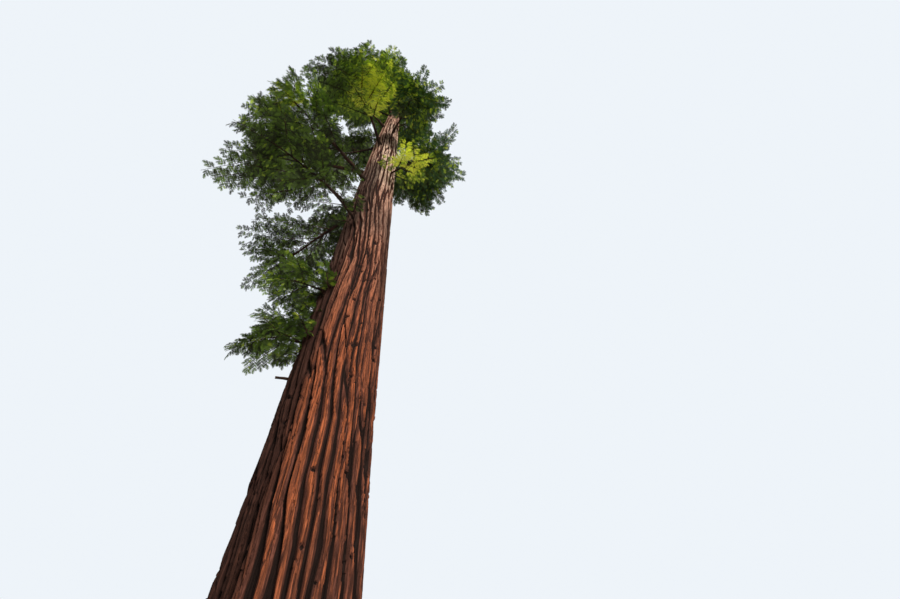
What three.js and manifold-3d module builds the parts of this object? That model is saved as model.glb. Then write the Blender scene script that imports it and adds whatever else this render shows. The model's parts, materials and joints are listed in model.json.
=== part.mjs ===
// A coast redwood, scaled evenly from life to 40 m tall.
// Millimetres, +Z up, origin on the flat cut at ground level, under the middle of the trunk.
// The trunk is one fluted, tapering solid with the main ridges of its bark. Limbs climb it in a
// spiral: the lower ones are a bough that ends where a mass of foliage starts, and the upper ones are
// foliage from the trunk out.
// A mass is a stem with side twigs and toothed blades, each blade standing for a spray of needles.
import * as THREE from "three";
import { mergeVertices } from "three/addons/utils/BufferGeometryUtils.js";
import Module from "manifold-3d";

const wasm = await Module();
wasm.setup();

// Whole tree
const HEIGHT = 40000;
const TRUNK_TOP = 38700; // the leader shoot goes on from here
const UP = new THREE.Vector3(0, 0, 1);
const CLEARANCE = 0.3; // between pieces that touch on the real tree
const STEEPNESS_ALLOWANCE = 1.6;

// Trunk
const TRUNK_RADIUS = 975;
const ROOT_FLARE = 430; // added to the radius at the ground
const FLARE_FADE = 950; // the height in which the flare drops to about a third
const RIDGES = 28; // long ridges of bark round the trunk, with a furrow between each two
const TRUNK_SIDES = 2 * RIDGES;
const TRUNK_RINGS = 11;
const RING_CROWDING = 1.7; // above 1, rings stand closer towards the ground
const FURROW_DEPTH = 105; // where the trunk has its full radius
const SHALLOWEST_FURROW = 0.35; // as a share of that depth, where two ridges join
const RIDGE_SWING = THREE.MathUtils.degToRad(5); // how far the ridges swing to either side
const RIDGE_WAVE = 9000; // the height of one such swing, there and back
const RIDGE_UNEVENNESS = 0.4; // how far ridges and furrows stand off even steps, as a share of a step
const SWEEP = 110; // how far the middle of the trunk bows to -X
const FLUTE_DEPTH_AT_GROUND = 0.11; // share of the radius
const FLUTE_DEPTH_ABOVE = 0.022;
const FLUTE_FADE = 2600;

// Crown
const CROWN_BASE = 13800;
const LAST_LIMB = 38100;
const CROWN_LIMBS = 32;
const BOUGHS = 20; // the lowest limbs of the crown start as a bare bough
const CROWN_REACH = 4400;
const CROWN_SPREAD = 5250; // from the trunk's middle line, and no foliage goes beyond it
const LONG_LIMB = 2600; // a limb from this reach on carries the fuller foliage
const SHORT_LIMB = 1000; // and one below this reach the sparsest
const LIMB_CROWDING = 1.3; // above 1, limbs stand closer towards the top
const FIRST_AZIMUTH = THREE.MathUtils.degToRad(210);
const LOWEST_REACH = 3500; // of the lowest bough
const CROWDED_SIDE = THREE.MathUtils.degToRad(340); // a neighbour stood here, so limbs are shorter
const CROWDED_SHARE = 0.42; // of a limb's reach, lost where it points straight at that side
const SHORTEST_REACH = 650;
const OPEN_SIDE = THREE.MathUtils.degToRad(336); // no limb of the crown leaves to this side
const OPEN_HALF_ANGLE = THREE.MathUtils.degToRad(115); // within this angle to either side of it
const OPEN_TOP = 19000; // up to here
const OPEN_EDGE = THREE.MathUtils.degToRad(20); // foliage may lean over the side's edge by this
const GOLDEN_ANGLE = Math.PI * (3 - Math.sqrt(5));
const LOWEST_RISE = -0.1; // slope of a limb where it leaves the trunk
const HIGHEST_RISE = 1.0;
const SAG = 0.12; // share of the reach that a limb's tip drops
const BARE_SHARE = 0.33; // share of a limb that is bare bough
const BOUGH_THICKNESS = 0.024; // radius at the trunk as a share of the reach
const BOUGH_SIDES = 5;

// Stub of a dead limb
const STUB_HEIGHT = 6530;
const STUB_AZIMUTH = THREE.MathUtils.degToRad(181);
const STUB_REACH = 790; // from inside the trunk, as for the limbs
const STUB_RISE = 0.12;
const STUB_SAG = 0.1;
const STUB_RADIUS = 46;
const STUB_TIP_RADIUS = 24;

// Foliage
const TWIG_ANGLE = THREE.MathUtils.degToRad(54);
const TWIG_SHARE = 0.36; // longest side twig as a share of the limb's reach
const TWIG_RADIUS = 18;
const FLATNESS = 0.7; // height of a mass as a share of its width
const STEM_TIP_RADIUS = 12;
const BLADE_LENGTH = 1750;
const BLADE_WIDTH = 1000;
const BLADE_THICKNESS = 44;
const BLADE_POINTS = 8;
const SMALL_BLADE_POINTS = 6; // on limbs shorter than LONG_LIMB
const BLADE_DROOP = 0.35; // how steeply the blades hang
const SHOOT_BLADE_SCALE = 0.4;
const SPACE_MARGIN = 70; // between the spaces of two masses

const { lerp } = THREE.MathUtils;

// A number from 0 to 1 that depends only on its two whole numbers.
function chance(a, b) {
  const wave = Math.sin(a * 127.1 + b * 311.7) * 43758.5453;
  return wave - Math.floor(wave);
}

// Solids and geometries

function solidOf(geometry) {
  const bare = geometry.clone();
  bare.deleteAttribute("normal");
  bare.deleteAttribute("uv");
  const merged = mergeVertices(bare, 1e-3);
  return new wasm.Manifold(
    new wasm.Mesh({
      numProp: 3,
      vertProperties: merged.getAttribute("position").array,
      triVerts: new Uint32Array(merged.index.array),
    }),
  );
}

function geometryOf(solid) {
  const mesh = solid.getMesh();
  return new THREE.BufferGeometry()
    .setAttribute("position", new THREE.BufferAttribute(mesh.vertProperties, 3))
    .setIndex(new THREE.BufferAttribute(mesh.triVerts, 1));
}

// The largest piece of a solid, without loose scraps or sealed hollows.
function mainPiece(solid) {
  return solid.decompose().sort((a, b) => b.volume() - a.volume())[0];
}

// Trunk

function trunkRadius(z) {
  const t = Math.min(z / HEIGHT, 1);
  return TRUNK_RADIUS * Math.sqrt(1 - t) * (1 - t ** 5) + ROOT_FLARE * Math.exp(-z / FLARE_FADE);
}

function trunkCentre(z) {
  const bow = Math.sin((Math.PI * z) / HEIGHT);
  return new THREE.Vector3(-SWEEP * bow * bow, 0, z);
}

// How far a buttress or the hollow between two stands from the mean radius, as a factor.
function flute(angle, z) {
  const depth = FLUTE_DEPTH_ABOVE + FLUTE_DEPTH_AT_GROUND * Math.exp(-z / FLUTE_FADE);
  const wave =
    0.5 * Math.cos(3 * angle + 0.7) + 0.6 * Math.cos(5 * angle + 2.1) + 0.4 * Math.cos(8 * angle + 4.0);
  return 1 + depth * wave;
}

// How far the surface stands back from the ridges' tops where a column of the trunk meets a ring:
// every second column runs in a furrow, which is shallow where two ridges join.
function furrowDepth(column, ring, z) {
  if (column % 2 === 0) return 0;
  const share = lerp(SHALLOWEST_FURROW, 1, chance(column, ring));
  return FURROW_DEPTH * share * Math.min(1, trunkRadius(z) / TRUNK_RADIUS);
}

// The angle at which a column of the trunk meets a ring: ridges swing to and fro, each in its own way.
function columnAngle(column, ring, z) {
  const own = RIDGE_UNEVENNESS * (chance(ring, column + 100) - 0.5);
  const swing = RIDGE_SWING * Math.sin((2 * Math.PI * z) / RIDGE_WAVE);
  return (2 * Math.PI * (column + own)) / TRUNK_SIDES + swing;
}

// A lathe gives the trunk's faces, and its points are then set out by the rules above.
function trunkSolid(extraRadius) {
  const profile = [new THREE.Vector2(0, 0)];
  for (let ring = 0; ring <= TRUNK_RINGS; ring++) {
    const z = TRUNK_TOP * (ring / TRUNK_RINGS) ** RING_CROWDING;
    profile.push(new THREE.Vector2(trunkRadius(z), z));
  }
  profile.push(new THREE.Vector2(0, TRUNK_TOP));
  const geometry = new THREE.LatheGeometry(profile, TRUNK_SIDES);
  const place = geometry.getAttribute("position");
  const point = new THREE.Vector3();
  for (let i = 0; i < place.count; i++) {
    const column = Math.floor(i / profile.length) % TRUNK_SIDES;
    const ring = (i % profile.length) - 1;
    const { x: mean, y: height } = profile[i % profile.length];
    const angle = columnAngle(column, ring, height);
    const ridgeTop = mean * flute(angle, height) + extraRadius;
    const radius = mean > 0 ? ridgeTop - furrowDepth(column, ring, height) : 0;
    point.set(radius * Math.cos(angle), radius * Math.sin(angle), 0).add(trunkCentre(height));
    place.setXYZ(i, point.x, point.y, point.z);
  }
  return solidOf(geometry);
}

// Limbs are cut with this. The clearance is grown sideways, so a steep flank of a ridge gets less.
const trunkWithClearance = trunkSolid(CLEARANCE * STEEPNESS_ALLOWANCE);

// Limbs

// A tapering tube along a stretch of a curve: a cylinder whose rings are set square to the curve.
function taperedTube(curve, from, to, radiusFrom, radiusTo, sides, steps) {
  const geometry = new THREE.CylinderGeometry(radiusTo, radiusFrom, 1, sides, steps);
  const place = geometry.getAttribute("position");
  const point = new THREE.Vector3();
  for (let i = 0; i < place.count; i++) {
    point.fromBufferAttribute(place, i);
    const t = lerp(from, to, point.y + 0.5);
    const tangent = curve.getTangent(t);
    const across = new THREE.Vector3().crossVectors(UP, tangent).normalize();
    const above = new THREE.Vector3().crossVectors(tangent, across);
    const spot = curve.getPoint(t).addScaledVector(across, point.x).addScaledVector(above, -point.z);
    place.setXYZ(i, spot.x, spot.y, spot.z);
  }
  return solidOf(geometry);
}

// The line that a limb follows, from inside the trunk to its tip: it leaves at a slope and sags outward.
function limbCurve(height, azimuth, reach, rise, sag) {
  const out = new THREE.Vector3(Math.cos(azimuth), Math.sin(azimuth), 0);
  const start = trunkCentre(height).addScaledVector(out, 0.4 * trunkRadius(height));
  const middle = start.clone().addScaledVector(out, reach / 2).addScaledVector(UP, (reach / 2) * rise);
  const end = start.clone().addScaledVector(out, reach).addScaledVector(UP, reach * (rise - sag));
  return new THREE.QuadraticBezierCurve3(start, middle, end);
}

function crownReach(height) {
  const k = (height - CROWN_BASE) / (HEIGHT - CROWN_BASE);
  return CROWN_REACH * (0.86 + 0.14 * Math.min(1, k / 0.15)) * (1 - k ** 1.6);
}

// The angle from the middle of the open side to an azimuth, from -180 to 180 degrees.
function fromOpenSide(azimuth) {
  const turn = 2 * Math.PI;
  return THREE.MathUtils.euclideanModulo(azimuth - OPEN_SIDE + Math.PI, turn) - Math.PI;
}

// Turns a limb that is low on the open side to the nearest edge of that side.
function keepOpen(azimuth, height) {
  const off = fromOpenSide(azimuth);
  if (height > OPEN_TOP || Math.abs(off) > OPEN_HALF_ANGLE) return azimuth;
  return OPEN_SIDE + Math.sign(off) * OPEN_HALF_ANGLE;
}

function twigCount(reach) {
  if (reach < SHORT_LIMB) return 3;
  return reach < LONG_LIMB ? 4 : 5;
}

function crownLimb(i) {
  const share = i / (CROWN_LIMBS - 1);
  const height = lerp(CROWN_BASE, LAST_LIMB, 1 - (1 - share) ** LIMB_CROWDING);
  const azimuth = keepOpen(FIRST_AZIMUTH + i * GOLDEN_ANGLE + 0.5 * (chance(i, 1) - 0.5), height);
  const crowding = 1 - CROWDED_SHARE * Math.max(0, Math.cos(azimuth - CROWDED_SIDE));
  const ownReach = crownReach(height) * crowding * lerp(0.84, 1.12, chance(i, 2));
  const usualReach = Math.max(ownReach, SHORTEST_REACH);
  const reach = i === 0 ? LOWEST_REACH : usualReach;
  const rise = lerp(LOWEST_RISE, HIGHEST_RISE, share ** 1.2) + 0.16 * (chance(i, 3) - 0.5);
  return {
    curve: limbCurve(height, azimuth, reach, rise, SAG * 2),
    reach,
    thickness: BOUGH_THICKNESS * reach,
    bareShare: i < BOUGHS ? BARE_SHARE : 0,
    seed: i,
    twigs: twigCount(reach),
    sideBlades: reach < LONG_LIMB ? 0 : 1 + (i % 2),
    bladeScale: lerp(0.3, 1, Math.min(1, reach / 3400)),
  };
}

// Three short leafy shoots low on the trunk's left side, a thin limb under the lowest bough and a
// leafy shoot on the sunny side: height, azimuth in degrees, reach and rise.
const SHOOTS = [
  [7400, 190, 1300, 0.3],
  [8400, 176, 1200, 0.1],
  [9200, 205, 1400, 0.12],
  [13100, 228, 2400, 0.05],
  [18200, 312, 1800, 0.05],
];

function shootLimb([height, degrees, reach, rise], i) {
  return {
    curve: limbCurve(height, THREE.MathUtils.degToRad(degrees), reach, rise, SAG * 3),
    reach,
    thickness: BOUGH_THICKNESS * reach,
    bareShare: 0,
    seed: 100 + i,
    twigs: 4,
    sideBlades: 0,
    bladeScale: SHOOT_BLADE_SCALE,
  };
}

// The leader goes straight on from the trunk's cut top.
function leaderLimb() {
  const start = trunkCentre(TRUNK_TOP).addScaledVector(UP, CLEARANCE);
  const end = new THREE.Vector3(start.x + 60, start.y + 40, HEIGHT - 20);
  return {
    curve: new THREE.QuadraticBezierCurve3(start, start.clone().setZ(HEIGHT - 700), end),
    reach: HEIGHT - TRUNK_TOP,
    thickness: 24,
    bareShare: 0,
    seed: 200,
    twigs: 4,
    sideBlades: 0,
    bladeScale: 0.34,
  };
}

const crown = Array.from({ length: CROWN_LIMBS }, (_, i) => crownLimb(i));
const shoots = SHOOTS.map(shootLimb);
const leader = leaderLimb();
const limbs = [...crown, ...shoots, leader];
limbs.forEach((limb) => {
  limb.line = limb.curve.getPoints(8);
});

// A limb's radius at a share of its length.
function limbRadius(limb, share) {
  return lerp(limb.thickness, STEM_TIP_RADIUS, share ** 0.8);
}

// Spaces: a point belongs to the limb whose line is nearest

const segment = new THREE.Line3();
const nearest = new THREE.Vector3();

function distanceToLine(point, line) {
  let best = Infinity;
  for (let i = 0; i + 1 < line.length; i++) {
    segment.set(line[i], line[i + 1]).closestPointToPoint(point, true, nearest);
    best = Math.min(best, nearest.distanceTo(point));
  }
  return best;
}

// Whether a point is low on the open side, away from its edges.
function isOnOpenSide(point) {
  const off = Math.abs(fromOpenSide(Math.atan2(point.y, point.x)));
  return point.z < OPEN_TOP && off < OPEN_HALF_ANGLE - OPEN_EDGE;
}

function isInSpace(point, limb) {
  const fromAxis = point.clone().sub(trunkCentre(point.z)).setZ(0).length();
  if (fromAxis > CROWN_SPREAD || (limb.seed < CROWN_LIMBS && isOnOpenSide(point))) return false;
  if (point.z > HEIGHT || fromAxis < trunkRadius(point.z) * 1.1 + SPACE_MARGIN) {
    return limb === leader && point.z > TRUNK_TOP && point.z < HEIGHT;
  }
  const limit = distanceToLine(point, limb.line) + 2 * SPACE_MARGIN;
  return limbs.every((other) => other === limb || distanceToLine(point, other.line) > limit);
}

// Foliage

// A toothed blade along +X with its root at -1 and tip at 1: a double pyramid with a scalloped rim.
function bladeGeometry(points) {
  const geometry = new THREE.SphereGeometry(1, points, 2);
  const place = geometry.getAttribute("position");
  for (let i = 0; i < place.count; i++) {
    const angle = Math.atan2(place.getZ(i), -place.getX(i));
    const rim = Math.hypot(place.getX(i), place.getZ(i)) > 0.5;
    const isTooth = Math.round((angle * points) / (2 * Math.PI)) % 2 !== 0;
    const along = rim ? -Math.cos(angle) + (isTooth ? 0.16 : 0) : 0;
    const across = rim ? Math.sin(angle) * (isTooth ? 1.25 : 0.6) * (1 - 0.3 * along) : 0;
    place.setXYZ(i, along, -across, place.getY(i));
  }
  return geometry;
}

const longBlade = bladeGeometry(BLADE_POINTS);
const smallBlade = bladeGeometry(SMALL_BLADE_POINTS);

// The blade whose root is at one point and tip at another, turned about its length by a roll.
function bladeBetween(pattern, root, tip, width, roll) {
  const along = tip.clone().sub(root);
  const length = along.length();
  along.normalize();
  const across = new THREE.Vector3().crossVectors(UP, along).normalize().applyAxisAngle(along, roll);
  const above = new THREE.Vector3().crossVectors(along, across);
  const place = new THREE.Matrix4().makeBasis(
    along.multiplyScalar(length / 2),
    across.multiplyScalar(width / 2),
    above.multiplyScalar(BLADE_THICKNESS / 2),
  );
  place.setPosition(root.clone().add(tip).multiplyScalar(0.5));
  return pattern.clone().applyMatrix4(place);
}

function geometryIsInSpace(geometry, limb) {
  const place = geometry.getAttribute("position");
  const point = new THREE.Vector3();
  for (let i = 0; i < place.count; i++) {
    if (!isInSpace(point.fromBufferAttribute(place, i), limb)) return false;
  }
  return true;
}

// Adds a blade if it keeps to the limb's space, made shorter where that helps.
function addBlade(pieces, limb, root, direction, scale, roll) {
  const pattern = limb.reach < LONG_LIMB ? smallBlade : longBlade;
  for (const size of [1, 0.8, 0.62, 0.46]) {
    const length = BLADE_LENGTH * scale * size;
    const tip = root.clone().addScaledVector(direction, length);
    const geometry = bladeBetween(pattern, root, tip, BLADE_WIDTH * scale * Math.sqrt(size), roll);
    if (geometryIsInSpace(geometry, limb)) {
      pieces.push(solidOf(geometry));
      return;
    }
  }
}

// Twig number k of a limb: where it leaves the stem, its direction and its length.
// Twigs turn round the stem by the golden angle, in a flattened plume.
function twigOf(limb, k) {
  const share = lerp(limb.bareShare + 0.06, 0.9, (k + 0.5) / limb.twigs);
  const start = limb.curve.getPoint(share);
  const tangent = limb.curve.getTangent(share);
  const across = new THREE.Vector3().crossVectors(UP, tangent).normalize();
  const above = new THREE.Vector3().crossVectors(tangent, across);
  const turn = k * GOLDEN_ANGLE + 2 * Math.PI * chance(limb.seed, 20);
  const direction = tangent
    .multiplyScalar(Math.cos(TWIG_ANGLE))
    .addScaledVector(across, Math.sin(TWIG_ANGLE) * Math.cos(turn))
    .addScaledVector(above, Math.sin(TWIG_ANGLE) * Math.sin(turn) * FLATNESS)
    .normalize();
  const swell = Math.sin(Math.PI * lerp(0.25, 0.85, k / limb.twigs));
  const length = limb.reach * TWIG_SHARE * swell * lerp(0.8, 1.15, chance(limb.seed, 40 + k));
  return { start, direction, length };
}

function addTwig(pieces, limb, k) {
  const twig = twigOf(limb, k);
  let length = twig.length;
  const end = () => twig.start.clone().addScaledVector(twig.direction, length);
  while (!isInSpace(end(), limb) && length > 0.3 * twig.length) length *= 0.8;
  if (!isInSpace(end(), limb)) return;
  const line = new THREE.LineCurve3(twig.start, end());
  pieces.push(taperedTube(line, 0, 1, TWIG_RADIUS, TWIG_RADIUS * 0.6, 3, 1));
  const roll = 1.5 * (chance(limb.seed, 60 + k) - 0.5);
  const hanging = twig.direction.clone().addScaledVector(UP, -BLADE_DROOP).normalize();
  addBlade(pieces, limb, line.getPoint(0.8), hanging, limb.bladeScale, roll);
  if (k < limb.sideBlades) {
    const forward = limb.curve.getTangent(1).addScaledVector(UP, -BLADE_DROOP).normalize();
    addBlade(pieces, limb, line.getPoint(0.4), forward, limb.bladeScale * 0.85, -roll);
  }
}

function massSolid(limb) {
  const from = limb.bareShare > 0 ? limb.bareShare + CLEARANCE / limb.curve.getLength() : 0;
  const sides = limb.bareShare > 0 ? 4 : 5;
  const stem = taperedTube(limb.curve, from, 1, limbRadius(limb, from) * 0.85, STEM_TIP_RADIUS, sides, 3);
  const pieces = [stem];
  const beforeTip = limb.curve.getPoint(0.84);
  addBlade(pieces, limb, beforeTip, limb.curve.getTangent(1), limb.bladeScale, 0);
  for (let k = 0; k < limb.twigs; k++) addTwig(pieces, limb, k);
  const fused = wasm.Manifold.union(pieces);
  const meetsTrunk = limb.bareShare === 0 && limb !== leader;
  return mainPiece(meetsTrunk ? fused.subtract(trunkWithClearance) : fused);
}

function boughSolid(limb) {
  const tube = taperedTube(
    limb.curve,
    0,
    limb.bareShare,
    limb.thickness * 1.15,
    limbRadius(limb, limb.bareShare),
    BOUGH_SIDES,
    3,
  );
  return mainPiece(tube.subtract(trunkWithClearance));
}

// The broken stub of a dead limb, under the lowest shoot.
function stubSolid() {
  const curve = limbCurve(STUB_HEIGHT, STUB_AZIMUTH, STUB_REACH, STUB_RISE, STUB_SAG);
  const tube = taperedTube(curve, 0, 1, STUB_RADIUS, STUB_TIP_RADIUS, BOUGH_SIDES, 2);
  return mainPiece(tube.subtract(trunkWithClearance));
}

// Materials

const bark = new THREE.MeshStandardMaterial({ color: 0x8a4a33, roughness: 0.95, metalness: 0 });
const limbBark = new THREE.MeshStandardMaterial({ color: 0x5a3a2c, roughness: 0.95, metalness: 0 });
const needles = new THREE.MeshStandardMaterial({ color: 0x3f5a22, roughness: 0.7, metalness: 0 });

// The tree

const tree = new THREE.Group();

function addPiece(name, geometry, material) {
  const mesh = new THREE.Mesh(geometry, material);
  mesh.name = name;
  tree.add(mesh);
}

const numbered = (name, i) => name + "_" + String(i + 1).padStart(2, "0");

addPiece("trunk", geometryOf(trunkSolid(0)), bark);
addPiece("dead_stub", geometryOf(stubSolid()), limbBark);
crown.slice(0, BOUGHS).forEach((limb, i) => {
  addPiece(numbered("bough", i), geometryOf(boughSolid(limb)), limbBark);
});
crown.forEach((limb, i) => addPiece(numbered("foliage", i), geometryOf(massSolid(limb)), needles));
shoots.forEach((limb, i) => addPiece(numbered("shoot", i), geometryOf(massSolid(limb)), needles));
addPiece("leader_foliage", geometryOf(massSolid(leader)), needles);

export default tree;
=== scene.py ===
# %% [markdown]
# # A redwood tree: bark, twigs and needles
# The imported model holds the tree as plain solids: a trunk, boughs, and one solid for each mass of
# foliage. They stay in the frame for weight and collision. This lesson grows the looks on the same
# lines: furrowed bark round the trunk, then limbs, branches and twigs, and on the twigs the sprays
# of needles. Everything is in metres, with +Z up and the origin on the flat cut under the trunk.

import json
import math

import bpy
import numpy as np
from mathutils import Matrix, Vector

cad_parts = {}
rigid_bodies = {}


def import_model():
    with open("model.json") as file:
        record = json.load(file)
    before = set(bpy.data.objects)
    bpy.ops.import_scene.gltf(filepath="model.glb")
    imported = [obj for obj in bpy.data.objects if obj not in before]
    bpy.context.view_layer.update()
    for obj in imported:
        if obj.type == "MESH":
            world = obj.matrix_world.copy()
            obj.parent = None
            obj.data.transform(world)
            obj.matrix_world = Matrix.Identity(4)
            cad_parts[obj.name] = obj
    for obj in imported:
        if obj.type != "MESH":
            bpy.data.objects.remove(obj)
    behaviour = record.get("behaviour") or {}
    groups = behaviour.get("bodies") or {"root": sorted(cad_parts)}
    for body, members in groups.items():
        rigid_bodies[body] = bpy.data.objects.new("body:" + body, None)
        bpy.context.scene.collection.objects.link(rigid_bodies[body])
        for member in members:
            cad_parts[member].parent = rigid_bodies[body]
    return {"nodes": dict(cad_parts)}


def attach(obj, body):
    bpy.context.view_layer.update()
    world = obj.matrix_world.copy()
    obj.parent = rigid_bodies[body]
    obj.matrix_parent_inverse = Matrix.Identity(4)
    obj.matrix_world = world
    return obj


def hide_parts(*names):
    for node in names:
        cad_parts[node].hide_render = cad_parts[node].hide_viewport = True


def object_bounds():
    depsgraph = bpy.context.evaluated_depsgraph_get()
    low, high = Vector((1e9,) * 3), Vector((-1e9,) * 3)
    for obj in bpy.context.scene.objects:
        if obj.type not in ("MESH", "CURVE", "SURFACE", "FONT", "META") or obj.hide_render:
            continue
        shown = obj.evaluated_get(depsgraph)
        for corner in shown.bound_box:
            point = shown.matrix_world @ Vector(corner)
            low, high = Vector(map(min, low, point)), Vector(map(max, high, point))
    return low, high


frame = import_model()
cad_low, cad_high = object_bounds()
print("solids:", len(frame["nodes"]), "from", tuple(cad_low), "to", tuple(cad_high))

# %% [markdown]
# ## Camera
# The camera stands close to the trunk and looks steeply up through a very wide lens, so the trunk
# shoots away towards the point where all verticals meet, near the top edge of the picture. A camera
# could be aimed with angles, but it is easier to say where the world's own directions appear in the
# picture: three unit vectors, each given as right, up and into the picture. Their sum with the
# world's axes is the camera's turn.

# %% Camera
CAMERA_PLACE = Vector((0.0, -6.72, 0.9))
LENS_MM = 16.0
SENSOR_MM = 36.0
NEAREST_SEEN = 0.05
FARTHEST_SEEN = 500.0
TREE_TO_THE_LEFT = math.radians(22.2)  # from the camera's level direction to the trunk
UP_IN_PICTURE = Vector((-0.05794, 0.59835, 0.79914))
AHEAD_IN_PICTURE = Vector((0.07702, -0.79542, 0.60115))
RIGHT_IN_PICTURE = Vector((0.99534, 0.09638, 0.0))


def camera_turn():
    """The camera's rotation, from where up, ahead and right of the world appear in the picture."""
    ahead = Vector((math.sin(TREE_TO_THE_LEFT), math.cos(TREE_TO_THE_LEFT), 0))
    right = Vector((math.cos(TREE_TO_THE_LEFT), -math.sin(TREE_TO_THE_LEFT), 0))
    pairs = [
        (Vector((0, 0, 1)), UP_IN_PICTURE),
        (ahead, AHEAD_IN_PICTURE),
        (right, RIGHT_IN_PICTURE),
    ]
    axes = [sum((world * seen[i] for world, seen in pairs), Vector()) for i in range(3)]
    return Matrix((axes[0], axes[1], -axes[2])).transposed().to_quaternion().normalized()


lens = bpy.data.cameras.new("camera")
lens.lens = LENS_MM
lens.sensor_width = SENSOR_MM
lens.clip_start, lens.clip_end = NEAREST_SEEN, FARTHEST_SEEN
camera = bpy.data.objects.new("camera", lens)
camera.location = CAMERA_PLACE
camera.rotation_mode = "QUATERNION"
camera.rotation_quaternion = camera_turn()
bpy.context.scene.collection.objects.link(camera)
bpy.context.scene.camera = camera
print("camera looks along", camera.rotation_quaternion @ Vector((0, 0, -1)))

# %% [markdown]
# ## Light and floor
# Light outdoors is soft, with a warm side from the sun. A pale world gives the first, and a sun
# with a wide disc the second: a wide disc has soft shadows. The sun stands low behind the camera, a
# little to its right, so it reaches in under the crown. The world is bright where the camera sees
# it but lights the tree much less, so furrows stay deep and the trunk's left edge stays dark.

# %% Sky and sun
SKY_COLOUR = (0.90, 0.95, 1.0, 1.0)
SKY_SEEN = 0.95
SKY_LIGHT = 0.25
SUN_FROM = Vector((0.31, -0.95, 0.50))
SUN_COLOUR = (1.0, 0.93, 0.82)
SUN_STRENGTH = 5.2
SUN_WIDTH = math.radians(24)

world = bpy.data.worlds.new("pale sky")
world.use_nodes = True
background = world.node_tree.nodes["Background"]
background.inputs["Color"].default_value = SKY_COLOUR
light_path = world.node_tree.nodes.new("ShaderNodeLightPath")
strength = world.node_tree.nodes.new("ShaderNodeMath")
strength.operation = "MULTIPLY_ADD"
strength.inputs[1].default_value = SKY_SEEN - SKY_LIGHT
strength.inputs[2].default_value = SKY_LIGHT
world.node_tree.links.new(light_path.outputs["Is Camera Ray"], strength.inputs[0])
world.node_tree.links.new(strength.outputs[0], background.inputs["Strength"])
bpy.context.scene.world = world

sun_light = bpy.data.lights.new("sun", "SUN")
sun_light.energy = SUN_STRENGTH
sun_light.angle = SUN_WIDTH
sun_light.color = SUN_COLOUR
sun = bpy.data.objects.new("sun", sun_light)
sun.rotation_mode = "QUATERNION"
sun.rotation_quaternion = SUN_FROM.to_track_quat("Z", "Y")
bpy.context.scene.collection.objects.link(sun)
print("sun strength", SUN_STRENGTH, "and sky strength", SKY_LIGHT)

# %% Floor
FLOOR_SIZE = 400.0
FLOOR_COLOUR = (0.52, 0.50, 0.48, 1)
FLOOR_ROUGHNESS = 0.9


def new_material(name):
    """A material, its node tree and its shader."""
    material = bpy.data.materials.new(name)
    material.use_nodes = True
    return material, material.node_tree, material.node_tree.nodes["Principled BSDF"]


floor_paint, _, floor_shader = new_material("floor")
floor_shader.inputs["Base Color"].default_value = FLOOR_COLOUR
floor_shader.inputs["Roughness"].default_value = FLOOR_ROUGHNESS
half = FLOOR_SIZE / 2
floor_corners = [(-half, -half, 0), (half, -half, 0), (half, half, 0), (-half, half, 0)]
floor_mesh = bpy.data.meshes.new("floor")
floor_mesh.from_pydata(floor_corners, [], [(0, 1, 2, 3)])
floor_mesh.materials.append(floor_paint)
floor = bpy.data.objects.new("floor", floor_mesh)
bpy.context.scene.collection.objects.link(floor)
bpy.context.scene.view_settings.view_transform = "Standard"
print("floor", FLOOR_SIZE, "m wide, for the renders only")

# %% [markdown]
# ## Writing node trees as sums
# Both shapes and finishes below are node trees. A tree can be wired node by node, which takes many
# lines, or with a small class whose objects stand for a node's output: an ordinary sum of two of
# them then adds a Math node. That keeps the formulas readable.


# %% Helpers for node trees
class Field:
    """The output of a node. Arithmetic on it adds Math nodes to its tree."""

    def __init__(self, tree, socket):
        self.tree = tree
        self.socket = socket

    def math(self, operation, *others):
        return add_node(self.tree, "ShaderNodeMath", [self, *others], operation=operation)

    def __add__(self, other):
        return self.math("ADD", other)

    def __sub__(self, other):
        return self.math("SUBTRACT", other)

    def __rsub__(self, other):
        return self * -1 + other

    def __mul__(self, other):
        return self.math("MULTIPLY", other)

    def __truediv__(self, other):
        return self.math("DIVIDE", other)

    def __pow__(self, other):
        return self.math("POWER", other)

    __radd__ = __add__
    __rmul__ = __mul__


def plug(tree, socket, value):
    """Links a field to a socket, or sets a plain value on it."""
    if isinstance(value, Field):
        tree.links.new(value.socket, socket)
    elif value is not None:
        socket.default_value = value


def add_node(tree, kind, inputs=(), output=0, **settings):
    """Adds a node, with its inputs in order or by name, and returns one of its outputs."""
    node = tree.nodes.new(kind)
    for name, value in settings.items():
        setattr(node, name, value)
    named = inputs.items() if isinstance(inputs, dict) else enumerate(inputs)
    for name, value in named:
        plug(tree, node.inputs[name], value)
    return Field(tree, node.outputs[output])


def vector(tree, x, y, z):
    return add_node(tree, "ShaderNodeCombineXYZ", [x, y, z])


def split(tree, value):
    """The X, Y and Z of a vector."""
    first = add_node(tree, "ShaderNodeSeparateXYZ", [value])
    return [Field(tree, first.socket.node.outputs[axis]) for axis in "XYZ"]


def vector_math(tree, operation, first, second=None, output=0):
    return add_node(tree, "ShaderNodeVectorMath", [first, second], output, operation=operation)


def scaled(tree, value, factor):
    """A vector times a number."""
    inputs = {"Vector": value, "Scale": factor}
    return add_node(tree, "ShaderNodeVectorMath", inputs, operation="SCALE")


def smooth_step(field, low, high):
    """0 below low and 1 above high, with a smooth rise between."""
    inputs = [field, low, high]
    return add_node(field.tree, "ShaderNodeMapRange", inputs, interpolation_type="SMOOTHSTEP")


print("helpers: Field, plug, add_node, vector, split, vector_math, scaled, smooth_step")

# %% [markdown]
# ## Running a geometry tree
# Geometry Nodes sit on a modifier. The modifier's inputs are set by their identifiers before the
# object is first evaluated. What the tree makes is then copied into a plain mesh and the modifier
# goes, so that each finished piece is an ordinary mesh at the origin.

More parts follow.
